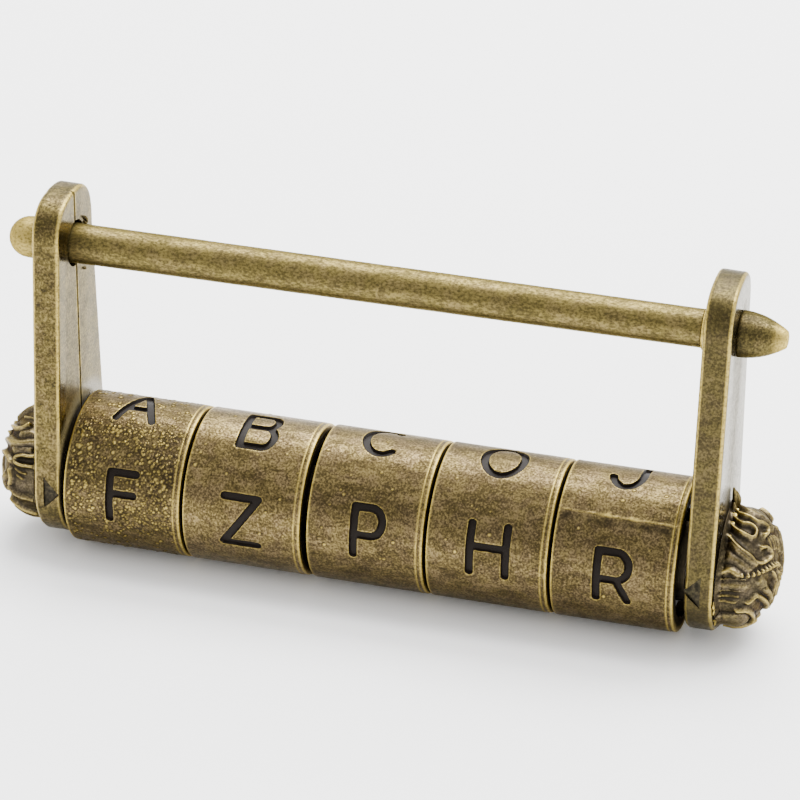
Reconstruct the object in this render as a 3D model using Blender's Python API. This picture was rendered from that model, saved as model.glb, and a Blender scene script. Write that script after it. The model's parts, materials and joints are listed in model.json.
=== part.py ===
"""A bar-shackle letter lock: five lettered rings on a slotted tube, between two tall end plates.

The right-hand plate carries the long bar and, inside the rings, a rod with one tooth for each ring.
With the opening word at the reading marks, the notch of every ring lines up with the tube's slot,
and the rings, the tube and the left-hand plate pull off the bar and the rod together.

Frame: origin on the bar's axis, midway along the rings, where the lock hangs. +X runs along the
rings to the right-hand plate, -Y faces the reader and +Z is up. The rings turn about the drum axis,
which is parallel to X and DRUM_DROP below the origin.
"""

import math

import bmesh
import bpy
from mathutils import Matrix, Vector

MM = 0.001

# Driving dimensions.
RING_COUNT = 5
RING_RADIUS = 9.5 * MM
RING_WIDTH = 14.96 * MM
RING_GAP = 0.4 * MM
DRUM_DROP = 30.7 * MM
PLATE_THICKNESS = 3.4 * MM
PLATE_TOP_RADIUS = 6.2 * MM
PLATE_TOP_CENTRE = 0.7 * MM
PLATE_FOOT_RADIUS = 8.6 * MM
LEFT_PLATE_GAP = 0.8 * MM
RIGHT_PLATE_GAP = 1.1 * MM
BAR_RADIUS_LEFT = 2.45 * MM
BAR_RADIUS_RIGHT = 2.3 * MM
KNOB_RADIUS = 7.7 * MM
KNOB_HEIGHT = 6.5 * MM
CLEARANCE = 0.3 * MM
OVERSHOOT = 1.0 * MM

# Where those put the main faces along X.
RING_PITCH = RING_WIDTH + RING_GAP
DRUM_END = (RING_COUNT * RING_PITCH - RING_GAP) / 2
LEFT_INNER = -DRUM_END - LEFT_PLATE_GAP
LEFT_OUTER = LEFT_INNER - PLATE_THICKNESS
RIGHT_INNER = DRUM_END + RIGHT_PLATE_GAP
RIGHT_OUTER = RIGHT_INNER + PLATE_THICKNESS

# Letter rings.
RING_BORE = 7.6 * MM
RING_CHAMFER = 0.35 * MM
WEB_THICKNESS = 3.0 * MM
WEB_INSET = 3.2 * MM
WEB_RUNNING_GAP = 0.2 * MM
NOTCH_WIDTH = 3.2 * MM
NOTCH_TOP = 7.4 * MM

# The slotted tube that the rings turn on.
TUBE_RADIUS = 5.6 * MM
TUBE_BORE = 4.2 * MM
TUBE_FLANGE_RADIUS = 6.6 * MM
TUBE_FLANGE_THICKNESS = 1.1 * MM
TUBE_FLOOR = 2.0 * MM
TUBE_END = DRUM_END + 0.6 * MM
SLOT_WIDTH = 2.6 * MM
SLOT_START = -DRUM_END + 2.0 * MM
PLATE_WEB = 0.8 * MM

# The wave washer beside the last ring's web, and the retaining ring, in its groove in the tube.
WASHER_INNER = 5.85 * MM
WASHER_OUTER = 7.2 * MM
WASHER_THICKNESS = 0.25 * MM
WASHER_WAVE = 0.45 * MM
WASHER_WAVES = 4
WASHER_SIDE_GAP = 0.15 * MM
WASHER_MIDDLE = DRUM_END - WEB_INSET + WASHER_SIDE_GAP + WASHER_WAVE
CLIP_LEFT = WASHER_MIDDLE + WASHER_WAVE + WASHER_THICKNESS + WASHER_SIDE_GAP
CLIP_THICKNESS = 0.7 * MM
CLIP_RADIUS = 7.0 * MM
CLIP_BORE_GAP = 0.2 * MM
GROOVE_LEFT = CLIP_LEFT - CLEARANCE
GROOVE_RIGHT = CLIP_LEFT + CLIP_THICKNESS + CLEARANCE
GROOVE_RADIUS = 5.0 * MM
SPLIT_HALF_ANGLE = math.radians(24)

# The locking rod and its teeth.
ROD_RADIUS = TUBE_BORE - CLEARANCE
ROD_TIP_BEVEL = 0.7 * MM
ROD_START = -DRUM_END + 1.4 * MM
ROD_SEAT_DEPTH = 1.5 * MM
TOOTH_RADIUS = 1.0 * MM
TOOTH_TOP = 7.1 * MM
TOOTH_ROOT = -1.5 * MM
TOOTH_SIDE_GAP = 0.4 * MM

# The bar, its collar and its screwed-on tip.
BAR_HEAD_RADIUS = 2.6 * MM
BAR_HEAD_REACH = 5.0 * MM
BAR_HOLE_RADIUS = 2.9 * MM
BAR_HEAD_INSET = 0.4 * MM
SPIGOT_RADIUS = 1.6 * MM
SPIGOT_REACH = 3.2 * MM
COLLAR_RADIUS = 2.6 * MM
COLLAR_THICKNESS = 0.7 * MM
TIP_RADIUS = 2.85 * MM
TIP_LENGTH = 5.5 * MM
TIP_TAPER = 1.6
TIP_BLUNTNESS = 0.4
SMALL_BEVEL = 0.15 * MM

# Screws that hold the knobs, and pins that join the halves of the left-hand plate.
SCREW_RADIUS = 1.3 * MM
SCREW_HOLE_RADIUS = SCREW_RADIUS + CLEARANCE
SCREW_IN_KNOB = 3.6 * MM
SCREW_IN_ROD = 5.0 * MM
SCREW_PAST_FLOOR = 0.5 * MM
PIN_RADIUS = 0.7 * MM
PIN_HALF_LENGTH = 3.0 * MM
PIN_HEIGHTS = {"upper": -7.0 * MM, "lower": -18.5 * MM}
SEAM_WIDTH = 0.3 * MM

# Edges and marks of the plates.
PLATE_BEVEL = 0.5 * MM
ARC_STEPS = 12
MARK_EDGE_GAP = 0.6 * MM
MARK_LENGTH = 1.7 * MM
MARK_WIDTH = 3.0 * MM
MARK_DEPTH = 0.35 * MM

# The knobs' outline: its widest height, its foot, and the shallow lobes round it.
KNOB_CROWN_BASE = 2.0 * MM
KNOB_SIDE_HEIGHT = 0.8 * MM
KNOB_SIDE_RADIUS = 7.6 * MM
KNOB_FOOT_RADIUS = 7.2 * MM
KNOB_LOBES = 12
KNOB_LOBE_DEPTH = 0.035
KNOB_LOBES_FROM = 0.5 * MM

# Sides of round pieces, by size, and steps along a rounded profile.
ROUND_STEPS = 48
BAR_STEPS = 28
SMALL_STEPS = 16
PROFILE_STEPS = 6

# Colour, roughness and metallic value of each finish.
FINISHES = {
    "plate": ((0.20, 0.15, 0.06), 0.34, 1.0),
    "ring": ((0.19, 0.14, 0.055), 0.36, 1.0),
    "bar": ((0.22, 0.17, 0.075), 0.32, 1.0),
    "knob": ((0.16, 0.115, 0.045), 0.42, 1.0),
    "tube": ((0.30, 0.21, 0.08), 0.35, 1.0),
    "steel": ((0.50, 0.50, 0.51), 0.30, 1.0),
    "spring": ((0.38, 0.38, 0.40), 0.28, 1.0),
}


def clear_scene():
    for obj in list(bpy.data.objects):
        bpy.data.objects.remove(obj, do_unlink=True)


def finish_material(name, finish):
    colour, roughness, metallic = FINISHES[finish]
    made = bpy.data.materials.new(name + "_finish")
    made.use_nodes = True
    shader = made.node_tree.nodes["Principled BSDF"]
    shader.inputs["Base Color"].default_value = (*colour, 1.0)
    shader.inputs["Roughness"].default_value = roughness
    shader.inputs["Metallic"].default_value = metallic
    made.diffuse_color = (*colour, 1.0)
    return made


def empty_at(name, location, parent=None):
    """A frame for a body's pieces, with its origin on the body's joint axis."""
    empty = bpy.data.objects.new(name, None)
    empty.location = location
    empty.empty_display_size = 5 * MM
    bpy.context.scene.collection.objects.link(empty)
    if parent:
        empty.parent = parent
    return empty


def object_from(name, shape, parent):
    bmesh.ops.recalc_face_normals(shape, faces=shape.faces)
    mesh = bpy.data.meshes.new(name)
    shape.to_mesh(mesh)
    shape.free()
    obj = bpy.data.objects.new(name, mesh)
    bpy.context.scene.collection.objects.link(obj)
    obj.parent = parent
    return obj


def piece(name, shape, finish, parent, location=(0, 0, 0)):
    obj = object_from(name, shape, parent)
    obj.location = location
    obj.data.materials.append(finish_material(name, finish))
    obj.data.shade_smooth()
    obj.data.set_sharp_from_angle(angle=math.radians(30))
    return obj


def cutter(name, shape, parent):
    obj = object_from(name, shape, parent)
    obj.hide_render = True
    obj.display_type = "WIRE"
    return obj


def cut(obj, *tools):
    for tool in tools:
        modifier = obj.modifiers.new("cut " + tool.name, "BOOLEAN")
        modifier.operation = "DIFFERENCE"
        modifier.solver = "EXACT"
        modifier.object = tool


def bridge_rings(shape, rings):
    """Faces between each ring of vertices and the next. A ring of one vertex is a pole."""
    for near, far in zip(rings, rings[1:]):
        count = max(len(near), len(far))
        for i in range(count):
            j = (i + 1) % count
            corners = [near[i % len(near)], near[j % len(near)], far[j % len(far)], far[i % len(far)]]
            shape.faces.new(list(dict.fromkeys(corners)))


def turned(profile, steps=ROUND_STEPS, closed=True, radius_at=None):
    """Turns (x, radius) points round the X axis.

    A closed profile makes a ring; an open one starts and ends on the axis. radius_at(radius, x, turn)
    may vary the radius with the angle.
    """
    shape = bmesh.new()
    rings = []
    for x, radius in profile:
        if radius == 0:
            rings.append([shape.verts.new((x, 0, 0))])
            continue
        ring = []
        for step in range(steps):
            turn = 2 * math.pi * step / steps
            reach = radius_at(radius, x, turn) if radius_at else radius
            ring.append(shape.verts.new((x, reach * math.sin(turn), reach * math.cos(turn))))
        rings.append(ring)
    if closed:
        rings.append(rings[0])
    bridge_rings(shape, rings)
    return shape


def split_band(inner, outer, left_at, right_at, steps=ROUND_STEPS):
    """A ring with a gap at its top. left_at and right_at give its two faces' x for a turn."""
    shape = bmesh.new()
    sweep = 2 * math.pi - 2 * SPLIT_HALF_ANGLE
    sections = []
    for step in range(steps + 1):
        turn = SPLIT_HALF_ANGLE + sweep * step / steps
        corners = (
            (left_at(turn), inner),
            (left_at(turn), outer),
            (right_at(turn), outer),
            (right_at(turn), inner),
        )
        sections.append(
            [shape.verts.new((x, r * math.sin(turn), r * math.cos(turn))) for x, r in corners]
        )
    bridge_rings(shape, sections)
    shape.faces.new(sections[0])
    shape.faces.new(sections[-1])
    return shape


def box(low, high):
    shape = bmesh.new()
    size = [b - a for a, b in zip(low, high)]
    middle = [(a + b) / 2 for a, b in zip(low, high)]
    place = Matrix.Translation(middle) @ Matrix.Diagonal((*size, 1))
    bmesh.ops.create_cube(shape, size=1, matrix=place)
    return shape


def add_cylinder(shape, radius, length, place, steps):
    bmesh.ops.create_cone(
        shape,
        cap_ends=True,
        segments=steps,
        radius1=radius,
        radius2=radius,
        depth=length,
        matrix=place,
    )


def upright_pin(radius, bottom, top, x=0.0, steps=SMALL_STEPS):
    """A round pin along Z."""
    shape = bmesh.new()
    place = Matrix.Translation((x, 0, (bottom + top) / 2))
    add_cylinder(shape, radius, top - bottom, place, steps)
    return shape


def cross_pin(radius, half_length, x, z, steps=SMALL_STEPS):
    """A round pin along Y."""
    shape = bmesh.new()
    place = Matrix.Translation((x, 0, z)) @ Matrix.Rotation(math.pi / 2, 4, "X")
    add_cylinder(shape, radius, 2 * half_length, place, steps)
    return shape


def quarter_ellipse(centre, reach, radius):
    """(x, radius) points from the tip of an ellipse, which is on the X axis, to its widest place."""
    turns = [math.pi / 2 * step / PROFILE_STEPS for step in range(PROFILE_STEPS + 1)]
    return [(centre + reach * math.cos(turn), radius * math.sin(turn)) for turn in turns]


# Plates.


def front_edge(inset, seam, steps):
    """(y, z) points of a plate's front half, from the top down to the foot, with its edge inset."""
    top = PLATE_TOP_RADIUS - inset
    foot = PLATE_FOOT_RADIUS - inset
    lean = math.asin((PLATE_FOOT_RADIUS - PLATE_TOP_RADIUS) / (DRUM_DROP + PLATE_TOP_CENTRE))
    arcs = (
        (top, PLATE_TOP_CENTRE, math.asin(seam / top), math.pi / 2 + lean),
        (foot, -DRUM_DROP, math.pi / 2 + lean, math.pi - math.asin(seam / foot)),
    )
    return [
        (-radius * math.sin(turn), centre + radius * math.cos(turn))
        for radius, centre, first, last in arcs
        for turn in (first + (last - first) * step / steps for step in range(steps + 1))
    ]


def plate_shape(left, right, half=None, steps=ARC_STEPS):
    """A plate between two X faces. half is -1 for the front half, 1 for the rear one, None for both."""
    shape = bmesh.new()
    rings = []
    faces = ((left, PLATE_BEVEL), (left + PLATE_BEVEL, 0), (right - PLATE_BEVEL, 0), (right, PLATE_BEVEL))
    for x, inset in faces:
        front = front_edge(inset, SEAM_WIDTH / 2 if half else 0, steps)
        if half:
            outline = [(-half * y, z) for y, z in front]
        else:
            outline = front + [(-y, z) for y, z in reversed(front[1:-1])]
        rings.append([shape.verts.new((x, y, z)) for y, z in outline])
    bridge_rings(shape, rings)
    shape.faces.new(rings[0])
    shape.faces.new(rings[-1])
    return shape


def reading_mark(base_x, tip_x):
    """A cutter for the triangle in a plate's front edge, level with the drum axis."""
    shape = bmesh.new()
    middle = -DRUM_DROP
    corners = ((base_x, middle + MARK_WIDTH / 2), (base_x, middle - MARK_WIDTH / 2), (tip_x, middle))
    front = [shape.verts.new((x, -PLATE_FOOT_RADIUS - MARK_DEPTH, z)) for x, z in corners]
    back = [shape.verts.new((x, -PLATE_FOOT_RADIUS + MARK_DEPTH, z)) for x, z in corners]
    bridge_rings(shape, [front, back])
    shape.faces.new(front)
    shape.faces.new(back)
    return shape


def tube_pocket():
    """A cutter for the tube's neck and flange and the knob screw, in the left-hand plate."""
    flange_left = LEFT_OUTER + PLATE_WEB
    flange_right = flange_left + TUBE_FLANGE_THICKNESS + 2 * CLEARANCE
    wide = TUBE_FLANGE_RADIUS + CLEARANCE
    neck = TUBE_RADIUS + CLEARANCE
    return turned(
        [
            (LEFT_OUTER - OVERSHOOT, 0),
            (LEFT_OUTER - OVERSHOOT, SCREW_HOLE_RADIUS),
            (flange_left, SCREW_HOLE_RADIUS),
            (flange_left, wide),
            (flange_right, wide),
            (flange_right, neck),
            (LEFT_INNER + OVERSHOOT, neck),
            (LEFT_INNER + OVERSHOOT, 0),
        ],
        closed=False,
    )


def rod_seat():
    """A cutter for the rod's end and the knob screw, in the right-hand plate."""
    seat = ROD_RADIUS + CLEARANCE
    return turned(
        [
            (RIGHT_INNER - OVERSHOOT, 0),
            (RIGHT_INNER - OVERSHOOT, seat),
            (RIGHT_INNER + ROD_SEAT_DEPTH, seat),
            (RIGHT_INNER + ROD_SEAT_DEPTH, SCREW_HOLE_RADIUS),
            (RIGHT_OUTER + OVERSHOOT, SCREW_HOLE_RADIUS),
            (RIGHT_OUTER + OVERSHOOT, 0),
        ],
        closed=False,
    )


def plain_bore(left, right, radius):
    return turned([(left, 0), (left, radius), (right, radius), (right, 0)], closed=False)


def add_left_plate(lock_body):
    """Two halves, joined by two pins, that hold the tube's flange between them."""
    drum_axis = Vector((0, 0, -DRUM_DROP))
    pocket = cutter("tube_pocket_cutter", tube_pocket(), lock_body)
    bore = plain_bore(LEFT_OUTER - OVERSHOOT, LEFT_INNER + OVERSHOOT, BAR_HOLE_RADIUS)
    bar_hole = cutter("bar_hole_cutter", bore, lock_body)
    bar_hole.location = -drum_axis
    middle = (LEFT_OUTER + LEFT_INNER) / 2
    holes = []
    for name, height in PIN_HEIGHTS.items():
        hole = cross_pin(PIN_RADIUS + CLEARANCE, PIN_HALF_LENGTH + CLEARANCE, middle, height)
        holes.append(cutter(f"{name}_pin_hole_cutter", hole, lock_body))
        holes[-1].location = -drum_axis
        pin = cross_pin(PIN_RADIUS, PIN_HALF_LENGTH, middle, height)
        piece(f"plate_pin_{name}", pin, "steel", lock_body, -drum_axis)
    mark_tip = LEFT_INNER - MARK_EDGE_GAP
    mark = cutter("left_mark_cutter", reading_mark(mark_tip - MARK_LENGTH, mark_tip), lock_body)
    mark.location = -drum_axis
    for name, half in (("front", -1), ("rear", 1)):
        shape = plate_shape(LEFT_OUTER, LEFT_INNER, half)
        obj = piece(f"left_plate_{name}", shape, "plate", lock_body, -drum_axis)
        cut(obj, pocket, bar_hole, *holes)
        if name == "front":
            cut(obj, mark)


def add_right_plate(shackle):
    plate = piece("right_plate", plate_shape(RIGHT_INNER, RIGHT_OUTER), "plate", shackle)
    seat = cutter("rod_seat_cutter", rod_seat(), shackle)
    seat.location = (0, 0, -DRUM_DROP)
    hole_radius = SPIGOT_RADIUS + CLEARANCE
    spigot_hole = plain_bore(RIGHT_INNER - OVERSHOOT, RIGHT_OUTER + OVERSHOOT, hole_radius)
    mark_tip = RIGHT_INNER + MARK_EDGE_GAP
    mark = reading_mark(mark_tip + MARK_LENGTH, mark_tip)
    cut(
        plate,
        seat,
        cutter("spigot_hole_cutter", spigot_hole, shackle),
        cutter("right_mark_cutter", mark, shackle),
    )


# The bar.


def add_bar(shackle):
    """The bar, one piece with its rounded head and the spigot that goes through the right-hand plate."""
    head_base = LEFT_OUTER - BAR_HEAD_REACH + BAR_HEAD_RADIUS
    head = quarter_ellipse(head_base, -BAR_HEAD_RADIUS, BAR_HEAD_RADIUS)
    shoulder = RIGHT_INNER - CLEARANCE - COLLAR_THICKNESS - CLEARANCE
    spigot_end = RIGHT_OUTER + SPIGOT_REACH
    profile = [
        *head,
        (LEFT_OUTER + BAR_HEAD_INSET, BAR_HEAD_RADIUS),
        (LEFT_INNER, BAR_RADIUS_LEFT),
        (shoulder, BAR_RADIUS_RIGHT),
        (shoulder, SPIGOT_RADIUS),
        (spigot_end, SPIGOT_RADIUS),
        (spigot_end, 0),
    ]
    piece("shackle_bar", turned(profile, steps=BAR_STEPS, closed=False), "bar", shackle)


def add_bar_collar(shackle):
    right = RIGHT_INNER - CLEARANCE / 2
    left = right - COLLAR_THICKNESS
    hole = SPIGOT_RADIUS + CLEARANCE
    profile = [
        (left, hole),
        (left, COLLAR_RADIUS - SMALL_BEVEL),
        (left + SMALL_BEVEL, COLLAR_RADIUS),
        (right, COLLAR_RADIUS),
        (right, hole),
    ]
    piece("bar_collar", turned(profile, steps=BAR_STEPS), "bar", shackle)


def tip_profile(base):
    """(x, radius) points of the tip's outside, from its foot to its blunt nose."""
    points = [(base, TIP_RADIUS - SMALL_BEVEL)]
    for step in range(1, 2 * PROFILE_STEPS):
        along = math.sin(math.pi / 2 * step / (2 * PROFILE_STEPS))
        radius = TIP_RADIUS * (1 - along**TIP_TAPER) ** TIP_BLUNTNESS
        points.append((base + SMALL_BEVEL + (TIP_LENGTH - SMALL_BEVEL) * along, radius))
    return [*points, (base + TIP_LENGTH, 0)]


def add_bar_tip(shackle):
    """The bullet-shaped nut that clamps the plate to the bar's shoulder."""
    base = RIGHT_OUTER + CLEARANCE / 2
    hole = SPIGOT_RADIUS + CLEARANCE
    hole_end = RIGHT_OUTER + SPIGOT_REACH + CLEARANCE
    profile = [(hole_end, 0), (hole_end, hole), (base, hole), *tip_profile(base)]
    piece("bar_tip", turned(profile, steps=BAR_STEPS, closed=False), "bar", shackle)


# Rings and what they turn on.


def ring_profile():
    """(x, radius) points of a letter ring about its own middle: a shell with one web near its right end."""
    half = RING_WIDTH / 2
    web_right = half - WEB_INSET
    web_left = web_right - WEB_THICKNESS
    web_bore = TUBE_RADIUS + WEB_RUNNING_GAP
    return [
        (-half, RING_BORE),
        (-half, RING_RADIUS - RING_CHAMFER),
        (-half + RING_CHAMFER, RING_RADIUS),
        (half - RING_CHAMFER, RING_RADIUS),
        (half, RING_RADIUS - RING_CHAMFER),
        (half, RING_BORE),
        (web_right, RING_BORE),
        (web_right, web_bore),
        (web_left, web_bore),
        (web_left, RING_BORE),
    ]


def ring_middle(number):
    return (number - (RING_COUNT + 1) / 2) * RING_PITCH


def add_rings(lock_body):
    notch = box(
        (-DRUM_END - OVERSHOOT, -NOTCH_WIDTH / 2, TUBE_RADIUS - OVERSHOOT),
        (DRUM_END + OVERSHOOT, NOTCH_WIDTH / 2, NOTCH_TOP),
    )
    notch_tool = cutter("notch_cutter", notch, lock_body)
    for number in range(1, RING_COUNT + 1):
        place = (ring_middle(number), 0, 0)
        ring = piece(f"letter_ring_{number}", turned(ring_profile()), "ring", lock_body, place)
        cut(ring, notch_tool)


def add_tube(lock_body):
    flange_left = LEFT_OUTER + PLATE_WEB + CLEARANCE
    flange_right = flange_left + TUBE_FLANGE_THICKNESS
    profile = [
        (flange_left, SCREW_HOLE_RADIUS),
        (flange_left, TUBE_FLANGE_RADIUS),
        (flange_right, TUBE_FLANGE_RADIUS),
        (flange_right, TUBE_RADIUS),
        (GROOVE_LEFT, TUBE_RADIUS),
        (GROOVE_LEFT, GROOVE_RADIUS),
        (GROOVE_RIGHT, GROOVE_RADIUS),
        (GROOVE_RIGHT, TUBE_RADIUS),
        (TUBE_END, TUBE_RADIUS),
        (TUBE_END, TUBE_BORE),
        (flange_left + TUBE_FLOOR, TUBE_BORE),
        (flange_left + TUBE_FLOOR, SCREW_HOLE_RADIUS),
    ]
    slot = box(
        (SLOT_START, -SLOT_WIDTH / 2, TUBE_BORE / 2),
        (TUBE_END + OVERSHOOT, SLOT_WIDTH / 2, NOTCH_TOP),
    )
    tube = piece("core_tube", turned(profile), "tube", lock_body)
    cut(tube, cutter("slot_cutter", slot, lock_body))


def add_retaining_ring(lock_body):
    inner = GROOVE_RADIUS + CLIP_BORE_GAP
    right = CLIP_LEFT + CLIP_THICKNESS
    shape = split_band(inner, CLIP_RADIUS, lambda turn: CLIP_LEFT, lambda turn: right)
    piece("retaining_ring", shape, "spring", lock_body)


def add_wave_washer(lock_body):
    """A sprung washer between the last ring's web and the retaining ring."""

    def left_at(turn):
        return WASHER_MIDDLE + WASHER_WAVE * math.cos(WASHER_WAVES * turn)

    def right_at(turn):
        return left_at(turn) + WASHER_THICKNESS

    shape = split_band(WASHER_INNER, WASHER_OUTER, left_at, right_at)
    piece("wave_washer", shape, "spring", lock_body)


def tooth_place(number):
    """A tooth stands just to the left of its ring's web, so that the web holds it."""
    web_left = ring_middle(number) + RING_WIDTH / 2 - WEB_INSET - WEB_THICKNESS
    return web_left - TOOTH_SIDE_GAP - TOOTH_RADIUS


def add_rod(drum_frame):
    """The rod and its teeth, which are pins set in it."""
    end = RIGHT_INNER + ROD_SEAT_DEPTH - CLEARANCE
    profile = [
        (ROD_START, 0),
        (ROD_START, ROD_RADIUS - ROD_TIP_BEVEL),
        (ROD_START + ROD_TIP_BEVEL, ROD_RADIUS),
        (end, ROD_RADIUS),
        (end, SCREW_HOLE_RADIUS),
        (end - SCREW_IN_ROD - CLEARANCE, SCREW_HOLE_RADIUS),
        (end - SCREW_IN_ROD - CLEARANCE, 0),
    ]
    rod = piece("locking_rod", turned(profile, steps=BAR_STEPS, closed=False), "steel", drum_frame)
    for number in range(1, RING_COUNT + 1):
        x = tooth_place(number)
        hole = upright_pin(TOOTH_RADIUS + CLEARANCE, TOOTH_ROOT - CLEARANCE, TOOTH_TOP, x)
        cut(rod, cutter(f"tooth_hole_cutter_{number}", hole, drum_frame))
        tooth = upright_pin(TOOTH_RADIUS, TOOTH_ROOT, TOOTH_TOP)
        piece(f"lock_tooth_{number}", tooth, "steel", drum_frame, (x, 0, 0))


# Knobs.


def knob_profile(base, away):
    """(x, radius) points of a domed knob that stands out from base to the side that away gives."""
    crown = quarter_ellipse(KNOB_CROWN_BASE, KNOB_HEIGHT - KNOB_CROWN_BASE, KNOB_RADIUS)
    side = [(KNOB_SIDE_HEIGHT, KNOB_SIDE_RADIUS), (CLEARANCE / 2, KNOB_FOOT_RADIUS)]
    hole_end = SCREW_IN_KNOB + CLEARANCE
    hole = [(CLEARANCE / 2, SCREW_HOLE_RADIUS), (hole_end, SCREW_HOLE_RADIUS), (hole_end, 0)]
    return [(base + away * x, radius) for x, radius in [*crown, *side, *hole]]


def scalloped(base):
    """A radius rule that gives a knob its shallow lobes, and leaves its hole and its flat face round."""

    def radius_at(radius, x, turn):
        if radius < 2 * SCREW_HOLE_RADIUS or abs(x - base) < KNOB_LOBES_FROM:
            return radius
        return radius * (1 - KNOB_LOBE_DEPTH * (1 - math.cos(KNOB_LOBES * turn)) / 2)

    return radius_at


def add_knob(name, base, away, parent):
    shape = turned(knob_profile(base, away), closed=False, radius_at=scalloped(base))
    piece(name, shape, "knob", parent)


def add_knob_screw(name, left, right, parent):
    """A stud that holds a knob to the piece behind its plate."""
    ends = ((left, SCREW_RADIUS), (right, SCREW_RADIUS))
    shape = turned([(left, 0), *ends, (right, 0)], steps=SMALL_STEPS, closed=False)
    piece(name, shape, "steel", parent)


def main():
    clear_scene()
    drum_axis = (0, 0, -DRUM_DROP)

    # The shackle: what stays on the bar.
    shackle = empty_at("shackle_frame", (0, 0, 0))
    shackle_drum = empty_at("shackle_drum_frame", drum_axis, shackle)
    add_right_plate(shackle)
    add_bar(shackle)
    add_bar_collar(shackle)
    add_bar_tip(shackle)
    add_rod(shackle_drum)
    add_knob("right_knob", RIGHT_OUTER, 1, shackle_drum)
    screw_left = RIGHT_INNER + ROD_SEAT_DEPTH - CLEARANCE - SCREW_IN_ROD
    add_knob_screw("right_knob_screw", screw_left, RIGHT_OUTER + SCREW_IN_KNOB, shackle_drum)

    # The lock body: what pulls off the bar.
    lock_body = empty_at("lock_body_frame", drum_axis)
    add_left_plate(lock_body)
    add_tube(lock_body)
    add_retaining_ring(lock_body)
    add_wave_washer(lock_body)
    add_knob("left_knob", LEFT_OUTER, -1, lock_body)
    screw_right = LEFT_OUTER + PLATE_WEB + CLEARANCE + TUBE_FLOOR + SCREW_PAST_FLOOR
    add_knob_screw("left_knob_screw", LEFT_OUTER - SCREW_IN_KNOB, screw_right, lock_body)

    # The rings, which turn on it.
    add_rings(lock_body)


main()
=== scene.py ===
"""Looks of the bar-shackle letter lock: engraved rings, cast plates, bar and knobs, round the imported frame.

Shapes are worked out in millimetres and become metres when they turn into meshes. "Turn" is an angle
about the drum axis, 0 at the front (-Y) and rising towards the top (+Z).
"""

import json
import math

import bmesh
import bpy
import numpy as np
from mathutils import Matrix, Vector


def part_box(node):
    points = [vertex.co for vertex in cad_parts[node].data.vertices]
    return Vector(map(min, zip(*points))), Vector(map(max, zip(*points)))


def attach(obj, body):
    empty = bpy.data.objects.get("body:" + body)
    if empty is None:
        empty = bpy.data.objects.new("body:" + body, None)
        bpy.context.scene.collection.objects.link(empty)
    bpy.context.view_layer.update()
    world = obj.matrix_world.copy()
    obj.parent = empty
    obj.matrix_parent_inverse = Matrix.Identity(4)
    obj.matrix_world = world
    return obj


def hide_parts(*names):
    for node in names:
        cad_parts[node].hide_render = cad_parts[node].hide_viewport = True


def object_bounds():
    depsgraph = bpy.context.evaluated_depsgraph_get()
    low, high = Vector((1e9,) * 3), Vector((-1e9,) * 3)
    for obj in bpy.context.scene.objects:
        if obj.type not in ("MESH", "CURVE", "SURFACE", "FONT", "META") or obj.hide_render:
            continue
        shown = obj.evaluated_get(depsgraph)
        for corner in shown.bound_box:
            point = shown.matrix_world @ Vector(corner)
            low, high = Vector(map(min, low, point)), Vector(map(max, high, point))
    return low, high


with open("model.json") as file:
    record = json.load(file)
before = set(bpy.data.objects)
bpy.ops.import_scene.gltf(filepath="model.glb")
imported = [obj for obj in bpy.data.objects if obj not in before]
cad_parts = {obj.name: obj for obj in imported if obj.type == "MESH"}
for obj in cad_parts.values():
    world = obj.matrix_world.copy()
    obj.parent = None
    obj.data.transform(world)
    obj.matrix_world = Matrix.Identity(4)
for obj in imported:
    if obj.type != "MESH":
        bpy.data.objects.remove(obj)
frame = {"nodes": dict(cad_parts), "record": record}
cad_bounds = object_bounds()

MM = 0.001

# The camera: where it stands, which way it looks, and its lens on a 36 mm sensor.
CAMERA_PLACE = (100.7, -364.2, 190.6)
CAMERA_AZIMUTH = math.radians(15.17)
CAMERA_DROP = math.radians(28.61)
CAMERA_ROLL = math.radians(0.8)
CAMERA_LENS = 160.5

# Colours of the dirt in hollows and of painted shade, bare metal on worn edges, the olive painted reflection
# of the rings on the plates beside them, and the letters' lacquer.
GRIME_AND_SHADE = (0.014, 0.011, 0.007)
WORN = (0.55, 0.41, 0.1)
RING_REFLECTION_OLIVE = (0.15, 0.12, 0.055)
LACQUER = (0.006, 0.004, 0.003)

# How much dirt and painted shade dull grazing light, and the rosy cast of part of the bronze.
DIRT_AND_SHADE_EDGE = (0.2, 0.18, 0.14)
ROSY = (1.0, 0.975, 1.16)

# Letters: half the stroke's width, half the height of the stroke's middle line, depth, and half widths.
STROKE = 0.52
LETTER_HALF_HEIGHT = 3.15
LETTER_DEPTH = 0.42
LETTER_HALF_WIDTH = {
    "A": 2.3, "B": 2.0, "C": 2.15, "E": 1.7, "F": 1.6, "H": 2.2, "J": 1.8, "K": 1.9, "L": 1.6, "M": 2.4,
    "N": 2.1, "O": 2.4, "P": 1.75, "R": 1.9, "T": 2.0, "U": 2.0, "V": 2.2, "X": 2.1, "Y": 2.1, "Z": 2.15,
}

# Each ring's letters, from the front up over the top, with the turn in degrees and the sideways place
# of each. The castings are a little uneven.
RING_LETTERS = (
    (("F", 9.3, 0.05), ("A", 91.5, -0.4), ("T", 184, 0.1), ("M", 272, 0.0)),
    (("Z", 4.4, -0.1), ("B", 83.0, 0.2), ("N", 180, -0.1), ("V", 268, 0.1)),
    (("P", 11.2, 0.6), ("C", 93.5, 0.0), ("K", 186, 0.1), ("U", 274, 0.0)),
    (("H", 11.7, 0.15), ("O", 90.0, -0.15), ("E", 183, 0.2), ("X", 270, -0.1)),
    (("R", 6.0, 0.05), ("J", 97.0, -0.35), ("L", 187, 0.2), ("Y", 275, 0.1)),
)

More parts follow.
